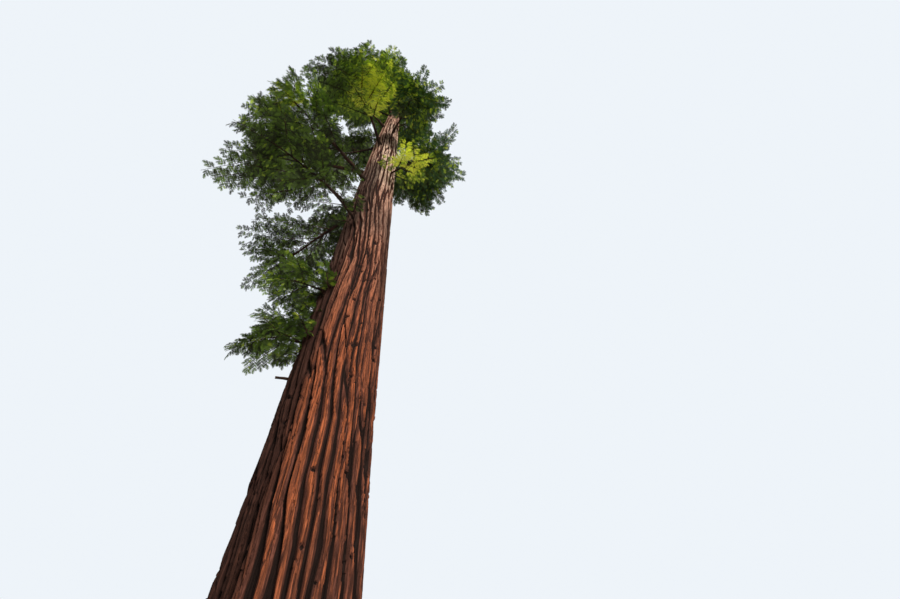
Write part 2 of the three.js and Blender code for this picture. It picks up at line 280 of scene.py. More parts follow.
# %% Helpers for geometry trees
SOCKET_KINDS = {
    "Geometry": "NodeSocketGeometry",
    "Material": "NodeSocketMaterial",
    "Sprays": "NodeSocketCollection",
    "Columns": "NodeSocketInt",
    "Rows": "NodeSocketInt",
    "Sides": "NodeSocketInt",
}


def geometry_tree(name, input_names):
    """A new tree with named inputs. Returns the tree and its inputs as a dictionary of fields."""
    tree = bpy.data.node_groups.new(name, "GeometryNodeTree")
    tree.is_modifier = True
    for label in input_names:
        kind = SOCKET_KINDS.get(label, "NodeSocketFloat")
        tree.interface.new_socket(label, in_out="INPUT", socket_type=kind)
    tree.interface.new_socket("Geometry", in_out="OUTPUT", socket_type="NodeSocketGeometry")
    entry = tree.nodes.new("NodeGroupInput")
    return tree, {label: Field(tree, entry.outputs[label]) for label in input_names}


def end_tree(tree, geometry, material):
    """Realizes what is left as instances, sets the material and closes the tree."""
    real = add_node(tree, "GeometryNodeRealizeInstances", [geometry])
    painted = add_node(tree, "GeometryNodeSetMaterial", {"Geometry": real, "Material": material})
    leave = tree.nodes.new("NodeGroupOutput")
    tree.links.new(painted.socket, leave.inputs[0])


def store(geometry, label, value):
    """Keeps a field as a named attribute. It is worked out from the points where they are now."""
    inputs = {"Geometry": geometry, "Name": label, "Value": value}
    return add_node(geometry.tree, "GeometryNodeStoreNamedAttribute", inputs)


def run_tree(tree, name, values, source=None):
    """A new object whose plain mesh is what the tree makes from the source mesh and the values."""
    piece = bpy.data.objects.new(name, source or bpy.data.meshes.new(name))
    bpy.context.scene.collection.objects.link(piece)
    modifier = piece.modifiers.new("shape", "NODES")
    modifier.node_group = tree
    for item in tree.interface.items_tree:
        if item.in_out == "INPUT" and item.name in values:
            modifier[item.identifier] = values[item.name]
    graph = bpy.context.evaluated_depsgraph_get()
    made = bpy.data.meshes.new_from_object(
        piece.evaluated_get(graph), preserve_all_data_layers=True, depsgraph=graph
    )
    piece.modifiers.clear()
    piece.data = made
    made.name = name
    return piece


def triangles(piece):
    return sum(len(polygon.vertices) - 2 for polygon in piece.data.polygons)


print("helpers: geometry_tree, end_tree, store, run_tree, triangles")

# %% [markdown]
# ## The trunk's rule
# The trunk tapers from a flared foot to a leader shoot, bows a little to one side, and is fluted:
# shallow buttresses stand out near the ground. The source of the solids gives this as a formula,
# written again here in metres, so the bark follows the solid that it replaces.

# %% The trunk's sizes and its rule
HEIGHT = 40.0
TRUNK_TOP = 38.7
TRUNK_RADIUS = 0.975
ROOT_FLARE = 0.43
FLARE_FADE = 0.95
SWEEP = 0.11
FLUTE_DEPTH_AT_GROUND = 0.11
FLUTE_DEPTH_ABOVE = 0.022
FLUTE_FADE = 2.6
FLUTE_WAVES = [(0.5, 3, 0.7), (0.6, 5, 2.1), (0.4, 8, 4.0)]  # height, number round the trunk, turn


def trunk_radius(z):
    t = min(z / HEIGHT, 1)
    return TRUNK_RADIUS * math.sqrt(1 - t) * (1 - t**5) + ROOT_FLARE * math.exp(-z / FLARE_FADE)


def trunk_centre(z):
    bow = math.sin(math.pi * z / HEIGHT)
    return np.array([-SWEEP * bow * bow, 0, z])


for level in (0, 3, 14, 28):
    print("trunk radius at", level, "m:", round(trunk_radius(level), 3))

# %% [markdown]
# ## Bark relief on the trunk: the net of furrows
# Redwood bark is thick and stringy. It splits into long ridges that part and join again, with
# furrows a few centimetres wide between them. Such a net is the border of cells, so a Voronoi
# texture can make it: stretched upwards, its cells become long plates. The texture's own distance
# to a border is stretched too, so the distance is worked out here in metres, from the two nearest
# cell centres. The net is skewed, so that no ring of plates ends at one height and each plate runs
# out in a point.
#
# The cells lie on the unrolled trunk. Where the roll closes there would be a seam, so that line is
# made one more furrow.

# %% Net of furrows
NET_SKEW = 0.37  # how far a cell stands above its neighbour, as a share of its length
FULL_TURN = 2 * math.pi


def cell(tree, place, output, feature="F1"):
    """The middle ("Position") or the own number ("Color") of the flat cell that a place is in."""
    inputs = {"Vector": place, "Scale": 1.0}
    settings = {"feature": feature, "voronoi_dimensions": "2D"}
    return add_node(tree, "ShaderNodeTexVoronoi", inputs, output, **settings)


def net(tree, angle, z, cells_round, cell_length, shift):
    """Metres to the nearest furrow of a net of long cells, and a number for each cell."""
    cell_width = FULL_TURN * TRUNK_RADIUS / cells_round
    across = angle * (cells_round / FULL_TURN)
    place = vector(tree, across + shift, z / cell_length + across * NET_SKEW, 0.0)
    own, other = (cell(tree, place, "Position", feature) for feature in ("F1", "F2"))
    border = scaled(tree, vector_math(tree, "ADD", own, other), 0.5)
    normal = vector_math(tree, "NORMALIZE", vector_math(tree, "SUBTRACT", other, own))
    to_border = vector_math(tree, "SUBTRACT", border, place)
    off = vector_math(tree, "DOT_PRODUCT", to_border, normal, "Value")
    normal_across, normal_up, _ = split(tree, normal)
    round_trunk = normal_across + normal_up * NET_SKEW
    steepness = ((round_trunk / cell_width) ** 2 + (normal_up / cell_length) ** 2).math("SQRT")
    seam = (cells_round / 2 - across.math("ABSOLUTE")) * cell_width
    number = split(tree, cell(tree, place, "Color"))[0]
    return (off / steepness).math("MINIMUM", seam), number


print("each cell stands", NET_SKEW, "of its length above its neighbour")

# %% [markdown]
# ## Bark relief: noise, pits and scars
# Real ridges wander, swell and fray. Noise on a cylinder does that without a seam: the sine and
# cosine of the angle are its first two coordinates, and the third is drawn out upwards. Broken
# twigs leave small pits, and knocks leave a few ragged scars.

# %% Noise, pits and scars
NOISES = {  # swells round the trunk, their length upwards, their strength and their detail
    "wander": (4, 4.0, 0.24, 3.0),
    "waver": (18, 1.0, 0.03, 3.0),
    "shift": (16, 4.0, 1.6, 3.0),
    "openness": (24, 1.6, 0.55, 3.0),
    "ragged": (60, 0.2, 0.35, 3.0),
    "fibre": (240, 0.35, 1.0, 2.0),
    "thread": (90, 0.16, 0.8, 2.0),
}
PITS_ROUND = 13.0  # the pits are scattered in cells of this number round the trunk
PIT_LENGTH = 0.9
PIT_RADIUS = 0.07
PIT_EDGE = (0.4, 1.2)
SCARS = [  # angle in degrees, height, half width, half height and slant
    (-67.6, 11.61, 0.10, 0.16, 0.0),
    (-90.2, 10.04, 0.09, 0.10, 0.0),
    (-71.0, 9.52, 0.20, 0.045, 0.9),
    (-73.5, 7.07, 0.13, 0.07, 0.3),
    (-101.4, 13.55, 0.09, 0.13, 0.0),
]
SCAR_EDGE = (0.45, 1.15)


def noise(tree, angle, z, name):
    """Noise round the trunk, between plus and minus its strength."""
    swells_round, length, strength, detail = NOISES[name]
    reach = swells_round / FULL_TURN
    place = vector(tree, angle.math("COSINE") * reach, angle.math("SINE") * reach, z / length)
    inputs = {"Vector": place, "Scale": 1.0, "Detail": detail}
    return (add_node(tree, "ShaderNodeTexNoise", inputs, "Fac") - 0.5) * 2 * strength


def pits(tree, angle, z):
    """1 on sound bark and 0 in the middle of a pit. Each cell has one, and many are tiny."""
    cell_width = FULL_TURN * TRUNK_RADIUS / PITS_ROUND
    place = vector(tree, angle * (PITS_ROUND / FULL_TURN), z / PIT_LENGTH, 0.0)
    centre = cell(tree, place, "Position")
    across, up, _ = split(tree, vector_math(tree, "SUBTRACT", place, centre))
    distance = ((across * cell_width) ** 2 + (up * PIT_LENGTH) ** 2).math("SQRT")
    own_radius = split(tree, cell(tree, place, "Color"))[0] * PIT_RADIUS
    return smooth_step(distance / own_radius, *PIT_EDGE)


def scars(tree, angle, z):
    """1 on sound bark and 0 in the middle of a scar."""
    sound = None
    for degrees, height, half_width, half_height, slant in SCARS:
        across = (angle - math.radians(degrees)) * TRUNK_RADIUS
        up = z - height - across * slant
        distance = ((across / half_width) ** 2 + (up / half_height) ** 2).math("SQRT")
        scar = smooth_step(distance + noise(tree, angle, z, "ragged"), *SCAR_EDGE)
        sound = scar if sound is None else sound * scar
    return sound


print("noises:", *NOISES)
print("scars:", len(SCARS))

# %% [markdown]
# ## Bark relief: all together
# One net gives the ridges, and a second, finer net splits them into strips. Noise turns and shifts
# both nets alike, and opens some furrows wider than others. The fibres, pits and scars come on top.
# What comes out is how far the surface stands back, a mask that is 0 in a furrow and 1 on a ridge,
# and a number by which plates differ in colour.

# %% The relief
RIDGES_ROUND = 28.0
RIDGE_LENGTH = 4.6
RIDGE_SWING = math.radians(5)  # the ridges swing to either side by this
RIDGE_WAVE = 9.0  # and are back after this height
FURROW_FLOOR = 0.006  # from the middle of a furrow to where its side begins
FURROW_WIDTH = 0.085  # from the middle of a furrow to the top of the ridge
FURROW_DEPTH = 0.105
FOOT_DEPTH = 1.15  # times as deep, at most, where the trunk is thicker
PLATE_LIFT = 0.030  # from the lowest ridge's top to the highest one's
PLATE_IN_LIFT = 0.7  # the plate's share of the lift, and the rest is the strip's
PLATE_IN_NUMBER = 0.6  # the same for the number that the colours use
STRIPS_ROUND = 74.0
STRIP_LENGTH = 1.3
STRIP_WIDTH = 0.028
STRIP_SHARE = 0.28  # of the furrows' depth
NUMBERS_APART = 50.0  # shifts one net's cells from the other's
FIBRE_DEPTH = 0.006
PIT_DEPTH = 0.045
SCAR_DEPTH = 0.06


def bark_relief(tree, angle, z, radius):
    """How far the surface stands back from the ridges' tops, the furrow mask and the number."""
    swing = (z * (FULL_TURN / RIDGE_WAVE)).math("SINE") * RIDGE_SWING
    wander = noise(tree, angle, z, "wander") + noise(tree, angle, z, "waver")
    turned = (angle - swing + wander).math("WRAP", math.pi, -math.pi)
    shifted = z + noise(tree, angle, z, "shift")
    to_furrow, plate = net(tree, turned, shifted, RIDGES_ROUND, RIDGE_LENGTH, 0)
    to_crack, strip = net(tree, turned, shifted, STRIPS_ROUND, STRIP_LENGTH, NUMBERS_APART)
    openness = noise(tree, angle, z, "openness") + 1
    ridges = smooth_step(to_furrow / openness, FURROW_FLOOR, FURROW_WIDTH)
    strips = smooth_step(to_crack, 0.0, STRIP_WIDTH)
    fibres = noise(tree, turned, z, "fibre") + noise(tree, turned, z, "thread")
    pitted = pits(tree, turned, z)
    sound = scars(tree, angle, z)
    height = ridges * (strips * STRIP_SHARE + (1 - STRIP_SHARE))
    depth = (radius / TRUNK_RADIUS).math("MINIMUM", FOOT_DEPTH)
    own_lift = plate * PLATE_IN_LIFT + strip * (1 - PLATE_IN_LIFT) - 1
    lift = own_lift * ridges * PLATE_LIFT
    back = (1 - height) * depth * FURROW_DEPTH - lift * depth - fibres * FIBRE_DEPTH
    holes = (1 - pitted) * PIT_DEPTH + (1 - sound) * SCAR_DEPTH
    number = plate * PLATE_IN_NUMBER + strip * (1 - PLATE_IN_NUMBER)
    return back + holes * ridges, height * pitted * sound, number


print("relief:", RIDGES_ROUND, "ridges, with furrows up to", FURROW_DEPTH * FOOT_DEPTH, "m deep")

# %% [markdown]
# ## The trunk as a tube
# The tube's points are moved onto the trunk's rule, less the relief. The furrow mask and the number
# are kept as attributes, from which the material takes its colours. They are stored before the
# points move: a field that reads the position afterwards would find the moved points and give other
# furrows.


# %% Trunk tree
def trunk_radius_field(z):
    t = z / HEIGHT
    taper = ((1 - t).math("MAXIMUM", 0) ** 0.5) * (1 - t**5)
    flare = (z / -FLARE_FADE).math("EXPONENT")
    return taper * TRUNK_RADIUS + flare * ROOT_FLARE


def flute_field(angle, z):
    depth = (z / -FLUTE_FADE).math("EXPONENT") * FLUTE_DEPTH_AT_GROUND + FLUTE_DEPTH_ABOVE
    waves = [
        (angle * number + turn).math("COSINE") * height for height, number, turn in FLUTE_WAVES
    ]
    return (waves[0] + waves[1] + waves[2]) * depth + 1


def trunk_tree():
    labels = ["Bottom", "Top", "Columns", "Rows", "Material"]
    tree, inputs = geometry_tree("trunk with bark", labels)
    tube = tree.nodes.new("GeometryNodeMeshCylinder")
    tube.fill_type = "TRIANGLE_FAN"
    plug(tree, tube.inputs["Vertices"], inputs["Columns"])
    plug(tree, tube.inputs["Side Segments"], inputs["Rows"])
    plug(tree, tube.inputs["Depth"], inputs["Top"] - inputs["Bottom"])
    x, y, height = split(tree, add_node(tree, "GeometryNodeInputPosition"))
    angle = y.math("ARCTAN2", x)
    z = height + (inputs["Top"] + inputs["Bottom"]) * 0.5
    radius = trunk_radius_field(z) * flute_field(angle, z)
    back, furrow, plate = bark_relief(tree, angle, z, radius)
    edge = (x**2 + y**2).math("SQRT")
    out = (radius - back) * edge
    bow = ((z * math.pi / HEIGHT).math("SINE") ** 2) * -SWEEP
    spot = vector(tree, angle.math("COSINE") * out + bow, angle.math("SINE") * out, z)
    shape = Field(tree, tube.outputs["Mesh"])
    for label, value in [("furrow", furrow), ("plate", plate)]:
        shape = store(shape, label, value)
    shape = add_node(tree, "GeometryNodeSetPosition", {"Geometry": shape, "Position": spot})
    side = Field(tree, tube.outputs["Side"])
    smooth = add_node(tree, "GeometryNodeSetShadeSmooth", {"Geometry": shape, "Selection": side})
    end_tree(tree, smooth, inputs["Material"])
    return tree


bark_tree = trunk_tree()
print("trunk tree with", len(bark_tree.nodes), "nodes")

# %% [markdown]
# ## Shared finishes
# Bark shows on the trunk and on the limbs, so what they share is one shader group: long fibres that
# run with the wood, as a height for a bump and as a mask for colour, and blotches of weathering.
# The furrows' own colour comes from the relief's attribute, so paint and shape agree.


# %% Bark fibre group
def shader_group(name, inputs, outputs):
    """A new shader group, from input names with plain values and the names of the outputs."""
    group = bpy.data.node_groups.new(name, "ShaderNodeTree")
    for label, value in inputs.items():
        socket = group.interface.new_socket(label, in_out="INPUT", socket_type="NodeSocketFloat")
        socket.default_value = value
    for label in outputs:
        group.interface.new_socket(label, in_out="OUTPUT", socket_type="NodeSocketFloat")
    entry = group.nodes.new("NodeGroupInput")
    leave = group.nodes.new("NodeGroupOutput")
    return group, {label: Field(group, entry.outputs[label]) for label in inputs}, leave


def bark_group():
    sizes = {"Fibres per metre": 40.0, "Stretch": 14.0, "Blotches per metre": 0.8}
    group, inputs, leave = shader_group("bark fibres", sizes, ["Fibre", "Blotch"])
    x, y, z = split(group, add_node(group, "ShaderNodeTexCoord", output="Object"))
    masks = {  # height, scale, detail, roughness, and what becomes 0 and 1
        "Fibre": (z / inputs["Stretch"], inputs["Fibres per metre"], 5.0, 0.65, 0.36, 0.62),
        "Blotch": (z * 0.3, inputs["Blotches per metre"], 4.0, 0.6, 0.4, 0.66),
    }
    for label, (up, scale, detail, roughness, low, high) in masks.items():
        settings = {"Scale": scale, "Detail": detail, "Roughness": roughness}
        settings["Vector"] = vector(group, x, y, up)
        value = add_node(group, "ShaderNodeTexNoise", settings, "Fac")
        plug(group, leave.inputs[label], smooth_step(value, low, high))
    return group


BARK_FIBRES = bark_group()
print("group", BARK_FIBRES.name, "with", len(BARK_FIBRES.nodes), "nodes")

# %% [markdown]
# ## Light and shade on the trunk
# The trunk is lit unevenly: dark on its left edge, low on its right edge and under the crown, and
# bright where the sun falls on it higher up. One sun and an even sky don't give that, so the bark's
# colour takes it in, as masks that depend on height and on the direction from the trunk's middle.
# Low on the right the shade lies in the furrows and the ridges keep their red: one dark coat would
# look flat.

# %% Light masks
LEFT, RIGHT, SUNWARDS = (
    Vector((math.cos(turn), math.sin(turn))) for turn in map(math.radians, (196, -14, -60))
)
RISES = {  # the heights between which each of these goes from 0 to 1
    "above foot": (2.0, 8.0),
    "narrow right": (2.8, 5.5),
    "above valleys": (6.0, 11.0),
    "wide left": (11.0, 16.0),
    "crown shade": (11.4, 12.8),
    "above crown shade": (13.6, 15.4),
    "above right": (14.0, 16.0),
    "sun": (15.0, 18.0),
    "above left": (18.0, 20.5),
    "above sun": (25.0, 28.0),
}
LEFT_EDGE = (0.70, 1.00)  # how far towards the side a shade begins, and where it is full
RIGHT_EDGE = (0.72, 1.02)
SUN_EDGE = (0.1, 0.8)
RAGGED_EDGE = 0.08
WIDER_LEFT = 0.40
WIDER_RIGHT = 0.32
CROWN_SHADE = 0.45
PAINTED_LOW = 0.20  # how much of the right edge's shade is painted over the ridges at the foot
PAINTED_HIGH = 0.75  # and how much more higher up


def light_masks(x, y, z, fibre):
    """Masks from 0 to 1: full shade, shade on ridges and in valleys, sunlight, and painted shade at
    the foot.
    """

    def risen(name):
        return smooth_step(z, *RISES[name])

    outwards = (x**2 + y**2).math("SQRT").math("MAXIMUM", 0.01)
    left, right, sunwards = (
        (x * side.x + y * side.y) / outwards for side in (LEFT, RIGHT, SUNWARDS)
    )
    left = left + fibre * RAGGED_EDGE + risen("wide left") * WIDER_LEFT
    right = right + fibre * RAGGED_EDGE + (1 - risen("narrow right")) * WIDER_RIGHT
    left_shade = smooth_step(left, *LEFT_EDGE) * (1 - risen("above left"))
    right_shade = smooth_step(right, *RIGHT_EDGE) * (1 - risen("above right"))
    crown_shade = risen("crown shade") * (1 - risen("above crown shade")) * CROWN_SHADE
    above_valleys = risen("above valleys")
    return {
        "shade": left_shade.math("MAXIMUM", crown_shade),
        "ridges": right_shade * (above_valleys * PAINTED_HIGH + PAINTED_LOW),
        "valleys": right_shade * (1 - above_valleys),
        "sun": smooth_step(sunwards, *SUN_EDGE) * risen("sun") * (1 - risen("above sun")),
        # painted shade at the foot, fading out above it
        "foot shade": 1 - risen("above foot"),
    }


print("light masks between", min(RISES.values())[0], "and", max(RISES.values())[1], "m")

# %% [markdown]
# ## Bark materials
# Fresh bark is cinnamon red. It weathers to a greyish purple. In the furrows the bark is darker,
# and painted shade makes their floor almost black. High up the bark is paler and pinker, partly its
# own colour and partly painted light for the brighter upper trunk. Each plate differs from the
# next.
# Near the foot, and low on the right edge, painted shade widens the dark furrow floors and flanks,
# so the masks' limits shift there. A colour ramp on the relief would be shorter, but it can't tell
# a weathered ridge from a fresh one.

# %% Bark colours
TRUNK_COLOURS = {
    "fresh": (0.360, 0.102, 0.041),
    "weathered": (0.155, 0.058, 0.038),
    # paler, pinker bark high up: partly its own colour, partly painted light
    "high": (0.620, 0.400, 0.310),
    "valley": (0.138, 0.050, 0.035),
    "streak": (0.050, 0.019, 0.013),
    # darker bark with painted shade, near black on the furrows' floor
    "furrow": (0.012, 0.006, 0.005),
}
LIMB_COLOURS = {
    "fresh": (0.085, 0.042, 0.026),
    "weathered": (0.050, 0.034, 0.028),
    "high": (0.090, 0.056, 0.042),
    "valley": (0.032, 0.021, 0.018),
    "streak": (0.020, 0.012, 0.010),
    # darker bark with painted shade, near black on the furrows' floor
    "furrow": (0.010, 0.007, 0.006),
}
SUNLIT_BARK = (0.900, 0.680, 0.550)


def colour_mix(tree, factor, first, second):
    """A blend of two colours, which are plain values or fields."""
    node = tree.nodes.new("ShaderNodeMix")
    node.data_type = "RGBA"
    colour_sockets = [socket for socket in node.inputs if socket.type == "RGBA"]
    plug(tree, node.inputs[0], factor)
    for socket, value in zip(colour_sockets, (first, second)):
        plug(tree, socket, value if isinstance(value, Field) else (*value, 1))
    return Field(tree, next(socket for socket in node.outputs if socket.type == "RGBA"))


print("bark colours:", *TRUNK_COLOURS)

# %% Bark materials
TRUNK_FIBRES = {"Fibres per metre": 34.0, "Stretch": 16.0, "Blotches per metre": 0.9}
LIMB_FIBRES = {"Fibres per metre": 60.0, "Stretch": 2.0, "Blotches per metre": 2.0}
BLOTCH_WEATHERING, PLATE_WEATHERING, GAP_WEATHERING, FRESHNESS = 0.6, 0.5, 0.25, 0.25
HIGH_MIX, SUN_MIX, STREAK_MIX, SHADE_MIX = 0.85, 0.8, 0.6, 0.78
RIDGE_EDGE = (0.74, 1.02)  # in the furrow mask, from a furrow's flank to a ridge's top
RIDGE_FRAYED = 0.25
# painted shade at the foot and low on the right edge narrows the lit ridge tops
RIDGES_NARROWED_BY_SHADE = {"foot shade": 0.12, "valleys": 0.14}
FURROW_EDGE = (0.05, 0.30)  # from the dark floor to the flank
FURROW_FRAYED = 0.06
# and widens the near-black furrow floors
FURROWS_WIDENED_BY_SHADE = {"foot shade": 0.15, "valleys": 0.42}
BARK_SHINE = 0.12


def attribute(tree, name):
    return add_node(tree, "ShaderNodeAttribute", output="Fac", attribute_name=name)


def bark_material(name, colours, fibres, paler_from_to, shaded):
    """Bark on ridges and furrows. Shaded is 1 where the light masks count and 0 where not."""
    material, tree, shader = new_material(name)
    group = tree.nodes.new("ShaderNodeGroup")
    group.node_tree = BARK_FIBRES
    for label, value in fibres.items():
        group.inputs[label].default_value = value
    fibre, blotch = (Field(tree, group.outputs[label]) for label in ("Fibre", "Blotch"))
    furrow, plate = attribute(tree, "furrow"), attribute(tree, "plate")
    x, y, z = split(tree, add_node(tree, "ShaderNodeTexCoord", output="Object"))
    light = {label: mask * shaded for label, mask in light_masks(x, y, z, fibre).items()}
    gaps = 1 - fibre

    def mixed(factor, below, above):
        return colour_mix(tree, factor, below, above)

    def shifted(mask, shifts):
        """The furrow mask lowered where the light masks say so."""
        for label, share in shifts.items():
            mask = mask - light[label] * share
        return mask

    weathering_and_shade = blotch * BLOTCH_WEATHERING + plate * PLATE_WEATHERING + gaps * GAP_WEATHERING
    # painted shade, on the left edge and in the band under the crown, also pushes the ridges
    # towards the weathered colour
    weathering_and_shade = (weathering_and_shade - FRESHNESS + light["shade"]).math("MINIMUM", 1).math("MAXIMUM", 0)
    ridge = mixed(weathering_and_shade, colours["fresh"], colours["weathered"])
    # higher up the ridges turn paler and pinker: partly the bark's own colour, partly painted light
    ridge = mixed(smooth_step(z, *paler_from_to) * HIGH_MIX, ridge, colours["high"])
    ridge = mixed(light["sun"] * SUN_MIX, ridge, SUNLIT_BARK)
    ridge = mixed(gaps * STREAK_MIX, ridge, colours["streak"])
    flank = mixed(fibre, colours["streak"], colours["valley"])
    on_ridge = shifted(furrow + fibre * RIDGE_FRAYED, RIDGES_NARROWED_BY_SHADE)
    raised = mixed(smooth_step(on_ridge, *RIDGE_EDGE), flank, ridge)
    shade = light["shade"].math("MAXIMUM", light["ridges"])
    raised = mixed(shade * SHADE_MIX, raised, colours["furrow"])
    off_floor = shifted(furrow + fibre * FURROW_FRAYED, FURROWS_WIDENED_BY_SHADE)
    # the furrows' floor gets the near-black colour: darker bark with painted shade
    colour = mixed(smooth_step(off_floor, *FURROW_EDGE), colours["furrow"], raised)

    plug(tree, shader.inputs["Base Color"], colour)
    plug(tree, shader.inputs["Roughness"], 0.95 - fibre * 0.12)
    bump = {"Strength": 0.9, "Distance": 0.03, "Height": fibre * 0.7 + furrow * 0.3}
    plug(tree, shader.inputs["Normal"], add_node(tree, "ShaderNodeBump", bump, "Normal"))
    shader.inputs["Specular IOR Level"].default_value = BARK_SHINE
    return material


trunk_bark = bark_material("trunk bark", TRUNK_COLOURS, TRUNK_FIBRES, (6, 19), shaded=1)
limb_bark = bark_material("limb bark", LIMB_COLOURS, LIMB_FIBRES, (20, 38), shaded=0)
for material in (trunk_bark, limb_bark):
    print("material", material.name, "with", len(material.node_tree.nodes), "nodes")

# %% [markdown]
# ## The bark mesh
# One tube for the whole trunk would be too heavy or too coarse, so the trunk is five lengths, each
# with its own fineness: the camera sees the second one from nearest. They meet in the same rings
# and each is closed, with a flat cut at the ground.

# %% Trunk pieces
TRUNK_LENGTHS = [  # bottom, top, columns, rows
    (0.0, 2.6, 400, 80),
    (2.6, 5.8, 400, 225),
    (5.8, 10.0, 400, 235),
    (10.0, 17.0, 400, 240),
    (17.0, TRUNK_TOP, 400, 240),
]
for number, (bottom, top, columns, rows) in enumerate(TRUNK_LENGTHS, start=1):
    values = {"Bottom": bottom, "Top": top, "Columns": columns, "Rows": rows}
    values["Material"] = trunk_bark
    piece = run_tree(bark_tree, f"trunk_bark_{number}", values)
    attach(piece, "root")
    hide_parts("trunk")
    print(piece.name, "from", bottom, "to", top, "m:", triangles(piece), "triangles")

# %% [markdown]
# ## Chances and curves
# The limbs, branches and twigs below follow one seeded rule, the same as in the source. A plain
# sine makes its chances: the same two whole numbers always give the same number, in any language.
# Every limb, branch and twig is a curve with three control points, so bough, mass and finished limb
# share one line.

# %% Chances and curves
GOLDEN_ANGLE = math.pi * (3 - math.sqrt(5))
UP = np.array([0.0, 0.0, 1.0])


def chance(a, b):
    """A number from 0 to 1 that depends only on its two whole numbers."""
    wave = math.sin(a * 127.1 + b * 311.7) * 43758.5453
    return wave - math.floor(wave)


def lerp(a, b, t):
    return a + (b - a) * t


def unit(direction):
    return direction / np.linalg.norm(direction)


def on_curve(curve, t):
    start, middle, end = curve
    return (1 - t) ** 2 * start + 2 * t * (1 - t) * middle + t * t * end


def heading(curve, t):
    start, middle, end = curve
    return unit((1 - t) * (middle - start) + t * (end - middle))


print("the first chances:", [round(chance(i, 1), 3) for i in range(4)])

# %% [markdown]
# ## Where the limbs stand
# A redwood's limbs leave the trunk in a spiral. The lower ones sag under their own weight and the
# upper ones rise. Low down one side stays open: a limb that would stand there is turned to the
# side's nearest edge. On the crowded side limbs are shorter.

# %% Height, direction and reach
CROWN_BASE = 13.8
LAST_LIMB = 38.1
CROWN_LIMBS = 32
CROWN_REACH = 4.4
BASE_REACH = 0.86  # of it at the crown's base
FULL_REACH_FROM = 0.15  # of the crown's height
CROWN_BULGE = 1.6  # the larger, the longer the crown stays wide towards the top
LOWEST_REACH = 3.5
SHORTEST_REACH = 0.65
LIMB_CROWDING = 1.3  # the larger, the closer the limbs stand towards the top
LIMB_ROOT = 0.4  # of the trunk's radius: limbs begin inside the trunk
REACH_SCATTER = (0.84, 1.12)
RISE_SCATTER = 0.16
FIRST_AZIMUTH = math.radians(210)
AZIMUTH_SCATTER = 0.5
CROWDED_SIDE = math.radians(340)
CROWDED_SHARE = 0.42
OPEN_SIDE = math.radians(336)
OPEN_HALF_ANGLE = math.radians(115)
OPEN_TOP = 19.0
LOWEST_RISE = -0.1
HIGHEST_RISE = 1.0
SAG = 0.12


def limb_curve(height, azimuth, reach, rise, sag):
    out = np.array([math.cos(azimuth), math.sin(azimuth), 0])
    start = trunk_centre(height) + out * LIMB_ROOT * trunk_radius(height)
    middle = start + out * reach / 2 + UP * reach / 2 * rise
    return start, middle, start + out * reach + UP * reach * (rise - sag)


def crown_reach(height):
    """How far a limb at this height reaches: less at the very base, and nothing at the top."""
    k = (height - CROWN_BASE) / (HEIGHT - CROWN_BASE)
    return CROWN_REACH * lerp(BASE_REACH, 1, min(1, k / FULL_REACH_FROM)) * (1 - k**CROWN_BULGE)


def from_open_side(azimuth):
    """The angle from the middle of the open side, from -180 to 180 degrees."""
    return (azimuth - OPEN_SIDE + math.pi) % (2 * math.pi) - math.pi


def keep_open(azimuth, height):
    """Turns a limb that is low on the open side to the nearest edge of that side."""
    off = from_open_side(azimuth)
    if height > OPEN_TOP or abs(off) > OPEN_HALF_ANGLE:
        return azimuth
    return OPEN_SIDE + math.copysign(OPEN_HALF_ANGLE, off)


def limb_height(i):
    share = i / (CROWN_LIMBS - 1)
    return lerp(CROWN_BASE, LAST_LIMB, 1 - (1 - share) ** LIMB_CROWDING)


print("the highest limb reaches", round(crown_reach(limb_height(CROWN_LIMBS - 1)), 2), "m at most")

# %% [markdown]
# ## The limbs
# Each limb is a dictionary of its curve and of what its branches need. From the lowest limbs up,
# the foliage gets fuller and its sprays longer, and a few limbs have fewer twigs, so the sky shows
# through them. Besides the crown's limbs there are a few shoots and the leader at the top.

# %% Limbs, shoots and leader
BOUGHS = 20
BARE_SHARE = 0.33
BOUGH_THICKNESS = 0.024  # times the reach
LEADER_THICKNESS = 0.024
LONG_REACH = 3.4  # from here on a limb has the most branches and the longest sprays
FEWEST_BRANCHES = 10  # on the shortest limbs of the crown
MOST_BRANCHES = 18  # on the longest
SHOOT_BRANCHES = 9
LOW_SHARE = 0.35  # of the limbs: from the lowest up to here their foliage gets fuller
LOWEST_FINENESS = 0.72
FULLER = 1.25  # times as many branches where it is fullest
SPARSE_LIMBS = {0: 1.45, 2: 1.4, 5: 1.6, 7: 1.4, 10: 1.4}  # where sky shows: the twigs' spacing
SHOOTS = [  # height, azimuth in degrees, reach, rise
    (7.4, 190, 1.3, 0.3),
    (8.4, 176, 1.2, 0.1),
    (9.2, 205, 1.4, 0.12),
    (13.1, 228, 2.4, 0.05),
    (18.2, 312, 1.8, 0.05),
]
LOW_SHOOTS_TOP = 11.0  # the shoots below this stand nearest to the camera and are finest
FIRST_SHOOT = 100  # seeds: a crown limb's is its number, a shoot's counts from here
LEADER_SEED = 200


def limb_values(curve, reach, **own):
    """A limb as a dictionary: the usual values, replaced by its own."""
    usual = {
        "curve": curve,
        "reach": reach,
        "thickness": BOUGH_THICKNESS * reach,
        "bare": 0.0,
        "branches": MOST_BRANCHES,
        "fullness": 0.0,
        "fineness": 1.0,
        "openness": 1.0,
    }
    return usual | own


